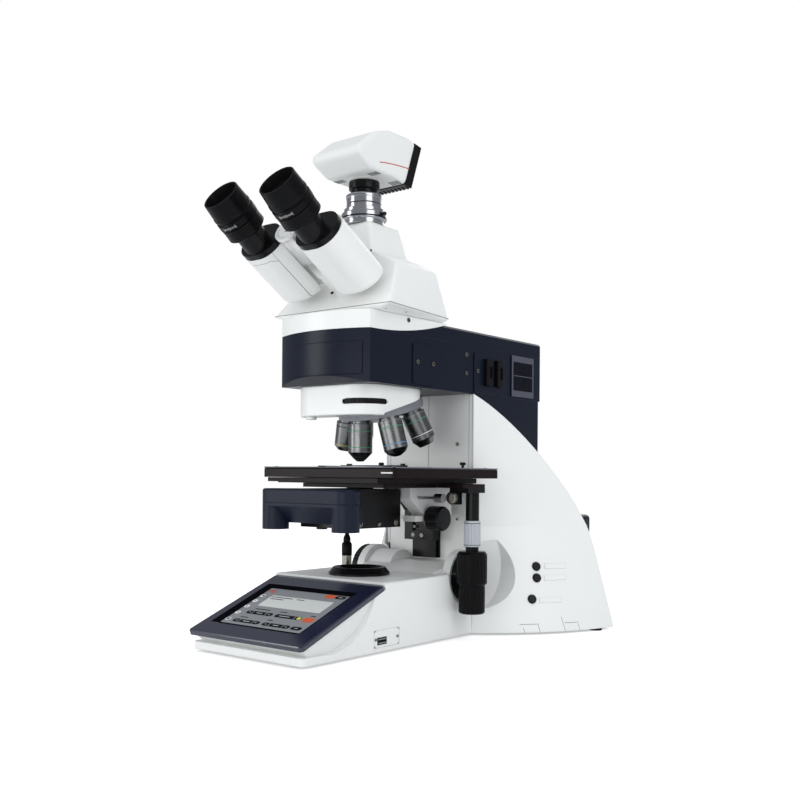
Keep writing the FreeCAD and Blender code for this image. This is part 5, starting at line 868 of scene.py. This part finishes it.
class STAND_OT_fittings(bpy.types.Operator):
    """Parting lines, labels, data socket, vents, rear panel and lamp cover of the stand, with painted shade
    in the screw sockets, the socket opening, the vent openings, louvres and slots
    """
    bl_idname = "microscope.stand_fittings"
    bl_label = "Stand fittings"

    def execute(self, context):
        seam = context.scene.microscope_sizes.seam_width
        # Painted shade: dark discs in the screw heads stand in for their recessed sockets
        with piece("screw_sockets", "black_plastic", "ink_dark") as bm:
            for points in islands("casing_screws"):
                low = Vector(min(point[axis] for point in points) for axis in range(3))
                high = Vector(max(point[axis] for point in points) for axis in range(3))
                size = high - low
                middle = (low + high) / 2
                if size.x < size.y:
                    where = facing(Vector((high.x, middle.y, middle.z)), (1, 0, 0))
                else:
                    where = facing(Vector((middle.x, low.y, middle.z)), (0, -1, 0))
                across = size.z * 1000
                add_turned(bm, where, ((0, 0.02), (across * 0.26, 0.02), (across * 0.26, -0.2), (0, -0.2)), 6)
        with piece("wing_tab_seams", "white_enamel", "pale_seam") as bm:
            for near, far in ((136.4, 150.3), (175.9, 192.8)):
                add_seam(bm, "side_wings", spot(0, near, 11.2), (0, 0, 1), seam * 1.2,
                         lambda centre, near=near, far=far: spot(0, near, 0).y < centre.y < spot(0, far, 0).y
                         and abs(centre.x) > WING_SIDE)
                for edge in (near, far):
                    add_seam(bm, "side_wings", spot(0, edge, 0), (0, 1, 0), seam,
                             lambda centre: centre.z < WING_TAB_TOP and abs(centre.x) > WING_SIDE)
        with piece("column_seams", "white_enamel", "pale_seam") as bm:
            for x in (55.2, 59.6, -55.2, -59.6):
                add_strip(bm, spot(x, 116.98, 69), spot(x, 116.98, 259), (0, -1, 0), 0.5, 0.08)
            add_strip(bm, spot(-0.3, 116.98, 150), spot(-0.3, 116.98, 259), (0, -1, 0), 0.4, 0.06)
        with piece("button_labels", "white_enamel") as bm:
            for x, y, z in ((123.8, 186.1, 71.3), (126.1, 182.2, 59.1), (127.8, 170.2, 35.8)):
                add_plate(bm, on_skin("side_wings", spot(x, y, z)), 27, 6.2, 0.22, 0.4, 3)
        with piece("usb_outline", "white_enamel", "pale_seam") as bm:
            add_plate(bm, facing(spot(73.0, -43.5, 14.9), (1, 0, 0)), 38.5, 17.3, 0.4, 4.2, 6)
        # Painted shade: a dark plate stands in for the data socket's opening
        with piece("socket_dark", "black_plastic", "ink_dark") as bm:
            add_plate(bm, facing(spot(73.3, -50.4, 12.6), (1, 0, 0)), 13.4, 6.6, 0.62, 0.8, 3)
        self.make_rear_panel()
        self.make_vent_grille()
        self.make_lamp_cover()
        with piece("nosepiece_lug", "white_enamel") as bm:
            add_plate(bm, turned_place(-32, -40, 226.2), 10.5, 9, 3.2, 3.6, 6)
        with piece("socket_tongues", "steel") as bm:
            for z in (10.8, 14.4):
                add_plate(bm, facing(spot(73.9, -50.4, z), (1, 0, 0)), 11.5, 1.1, 0.15, 0.3, 3)
        with piece("wheel_caps", "black_plastic", body="focus_wheels") as bm:
            for side in (1, -1):
                add_turned(bm, facing(spot(side * 75.05, 98, 62.5), (side, 0, 0)),
                           ((0, 0.5), (5.4, 0.5), (6.4, 0.1), (6.4, -0.4), (0, -0.4)), 48)
        return {"FINISHED"}

    def make_vent_grille(self):
        """The framed grille at the rear of the arm's right side, with painted shade in its openings behind
        the bars.
        """
        face = facing(spot(61.15, 216.5, 285.5), (1, 0, 0))
        with piece("vent_frame", "navy_enamel", "vent_slate") as bm:
            add_plate(bm, face, 47.2, 47.2, 0.45, 1.0, 4)
        # Painted shade: a dark plate behind the bars stands in for the vent's openings
        with piece("vent_dark", "black_plastic", "ink_dark") as bm:
            add_plate(bm, moved(face, z=0.4), 41, 33, 0.2, 0.6, 3)
        with piece("vent_bars", "navy_enamel") as bm:
            for bar in range(14):
                add_plate(bm, moved(face, x=-18.2 + bar * 2.8, z=0.5), 0.75, 32.5, 0.4, 0.3, 2)
        with piece("vent_crossbar", "navy_enamel", "vent_slate") as bm:
            add_plate(bm, moved(face, y=0.5, z=0.5), 41, 1.0, 0.6, 0.3, 2)

    def make_rear_panel(self):
        """Louvres drawn as dark strips of painted shade, and the connector plate on the back of the rear
        housing.
        """
        back = facing(spot(0, 257.0, 0), (0, 1, 0))
        # Painted shade: dark strips stand in for the louvres' gaps
        with piece("rear_louvres", "black_plastic", "ink_dark") as bm:
            for row in range(8):
                add_plate(bm, moved(back, y=206 + row * 5), 86, 2.0, 0.15, 0.9, 4)
        with piece("connector_plate", "navy_enamel", "vent_slate") as bm:
            add_plate(bm, moved(back, y=160), 100, 58, 0.8, 3, 5)
        with piece("rear_sockets", "black_plastic") as bm:
            add_plate(bm, moved(back, -30, 160, 0.6), 27, 20, 1.6, 2.5, 4)
            for x in (2, 20):
                add_plate(bm, moved(back, x, 172, 0.6), 14, 7, 0.9, 0.8, 3)
            for x in (0, 16, 32):
                add_turned(bm, moved(back, x, 150, 0.6),
                           ((0, 0.3), (4.2, 0.3), (4.2, 1.4), (5.4, 1.4), (5.6, 0), (0, 0)), 40)
        with piece("rear_contacts", "steel") as bm:
            for x, y in ((-36, 160), (-24, 160), (-30, 163.5)):
                add_plate(bm, moved(back, x, y, 2.2), 1.6, 4.5, 0.3, 0.6, 3)
            for x in (2, 20):
                add_plate(bm, moved(back, x, 172, 1.5), 11, 1.4, 0.2, 0.4, 3)
            for x in (0, 16, 32):
                add_turned(bm, moved(back, x, 150, 0.9), ((0, 0.4), (1.2, 0.4), (1.4, 0), (0, 0)), 24)
        with piece("rear_screws", "nickel") as bm:
            for side in (-1, 1):
                for y in (136, 184):
                    add_screw(bm, moved(back, side * 46, y, 0.8), 2.0, 0.8)
                for y in (76, 250):
                    add_screw(bm, moved(back, side * 54, y), 2.2, 0.9)

    def make_lamp_cover(self):
        """The vented hood over the lamp housing behind the stand, its slots dark strips of painted shade."""
        with piece("lamp_hood", "navy_enamel") as bm:
            add_plate(bm, facing(spot(0, 384.6, 75.5), (0, 1, 0)), 121, 91, 58, 6, 6)
            sharp = [edge for edge in bm.edges if edge.calc_face_angle(0) > 1.2]
            bmesh.ops.bevel(bm, geom=sharp, offset=0.002, offset_type="OFFSET", affect="EDGES", segments=3,
                            profile=0.5, material=-1)
            bmesh.ops.translate(bm, vec=(0, -0.058, 0), verts=bm.verts)
        # Painted shade: dark strips stand in for the hood's cooling slots
        with piece("lamp_slots", "black_plastic", "ink_dark") as bm:
            for row in range(9):
                z = 50 + row * 6
                add_plate(bm, facing(spot(0, 384.65, z), (0, 1, 0)), 84, 2.4, 0.12, 1.1, 4)
                for side in (1, -1):
                    add_plate(bm, facing(spot(side * 60.45, 356, z), (side, 0, 0)), 36, 2.4, 0.12, 1.1, 4)


class CONDENSER_OT_fittings(bpy.types.Operator):
    """Screws of condenser and carriage, and lines of the torque ring"""
    bl_idname = "microscope.condenser_fittings"
    bl_label = "Condenser fittings"

    def execute(self, context):
        with piece("condenser_screws", "nickel", body="condenser") as bm:
            for y in (-40, 15):
                add_screw(bm, facing(spot(36.0, y, 121.5), (1, 0, 0)), 3.0, 1.2)
            add_screw(bm, facing(spot(36.0, -12, 120.5), (1, 0, 0)), 2.2, 1.6)
        with piece("carriage_screws", "black_plastic", "grey_aluminium", "stage") as bm:
            for x in (-8.0, 4.0):
                add_screw(bm, facing(spot(x, 99.7, 103.5), (0, -1, 0)), 2.4, 0.5)
            add_screw(bm, facing(spot(-6.0, 99.7, 113.0), (0, -1, 0)), 1.6, 0.5)
        with piece("torque_ring_lines", "grey_aluminium", "ink_dark", "torque_ring") as bm:
            for height in (98.5, 121.0):
                add_band(bm, turned_place(92.5, 71, 0), 8.6, height, height + 0.5, 0.12, 48)
        return {"FINISHED"}


class LEAD_OT_cord(bpy.types.Operator):
    """The condenser's lead, from its plug in the deck to the condenser's rear"""
    bl_idname = "microscope.condenser_lead"
    bl_label = "Condenser lead"

    def execute(self, context):
        foot, end = spot(-43.6, 29.0, 97.0), spot(-33.0, 26.2, 135.0)
        route = [foot, foot + Vector((0, 0, 0.0065)), foot + Vector((0.0016, 0.005, 0.018)),
                 end + Vector((0, 0.010, 0)), end]
        across = context.scene.microscope_sizes.lead_diameter
        line = self.make_curve("lead_route", route, 0.0)
        tube = self.make_curve("lead_tube", route, across / 2)
        points = [point.co.copy() for point in bpy.data.meshes.new_from_object(line).vertices]
        mesh = bpy.data.meshes.new_from_object(tube)
        for made in (line, tube):
            bpy.data.objects.remove(made)
        mesh.name = "condenser_lead_sheath"
        mesh.materials.clear()
        mesh.materials.append(finish("lead_sheath"))
        mesh.shade_smooth()
        lead = placed("condenser_lead_sheath", mesh)
        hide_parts("condenser_lead")
        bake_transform(lead)
        bm = bmesh.new()
        add_turned(bm, turned_place(-43.6, 29.0, 82.5),
                   ((0, 0), (5.3, 0), (5.6, 0.8), (5.6, 12.4), (4.6, 14.2), (3.7, 15.0), (4.0, 16.0),
                    (3.8, 19.5), (2.6, 22.4), (1.5, 24.6), (0, 24.6)), 40)
        boot = make_piece("lead_boot", bm, "stand", finish("black_rubber"))
        return {"FINISHED"}

    def make_curve(self, name, route, radius):
        curve = bpy.data.curves.new(name, "CURVE")
        curve.dimensions = "3D"
        curve.resolution_u = 12
        curve.bevel_depth = radius
        curve.bevel_resolution = 4
        curve.use_fill_caps = radius > 0
        spline = curve.splines.new("NURBS")
        spline.points.add(len(route) - 1)
        for point, place in zip(spline.points, route):
            point.co = (*place, 1)
        spline.order_u = 3
        spline.use_endpoint_u = True
        return placed(name, curve)


class MICROSCOPE_PT_panel(bpy.types.Panel):
    """Sizes, colours and operators of the microscope"""
    bl_idname = "MICROSCOPE_PT_panel"
    bl_label = "Laboratory Microscope"
    bl_space_type = "VIEW_3D"
    bl_region_type = "UI"
    bl_category = "Microscope"

    def draw(self, context):
        layout = self.layout
        for group in (context.scene.microscope_sizes, context.scene.microscope_colours):
            for name in group.__annotations__:
                layout.prop(group, name)
        for operator in OPERATORS:
            layout.operator(operator.bl_idname)


OPERATORS = (STAGE_OT_studio, LEAD_OT_cord, FINISH_OT_nodes, DISPLAY_OT_picture, LENS_OT_glasses,
             OBJECTIVE_OT_bands, EYEPIECE_OT_details, CASING_OT_forms, HEAD_OT_fittings, CAMERA_OT_trim,
             STAGE_OT_fittings, STAND_OT_fittings, CONDENSER_OT_fittings)
CLASSES = (MicroscopeSizes, MicroscopeColours, *OPERATORS, MICROSCOPE_PT_panel)


def register():
    for kind in CLASSES:
        bpy.utils.register_class(kind)
    bpy.types.Scene.microscope_sizes = bpy.props.PointerProperty(type=MicroscopeSizes)
    bpy.types.Scene.microscope_colours = bpy.props.PointerProperty(type=MicroscopeColours)


def unregister():
    del bpy.types.Scene.microscope_colours
    del bpy.types.Scene.microscope_sizes
    for kind in reversed(CLASSES):
        bpy.utils.unregister_class(kind)


def main():
    register()
    for operator in OPERATORS:
        group, name = operator.bl_idname.split(".")
        getattr(getattr(bpy.ops, group), name)()


if __name__ == "__main__":
    main()
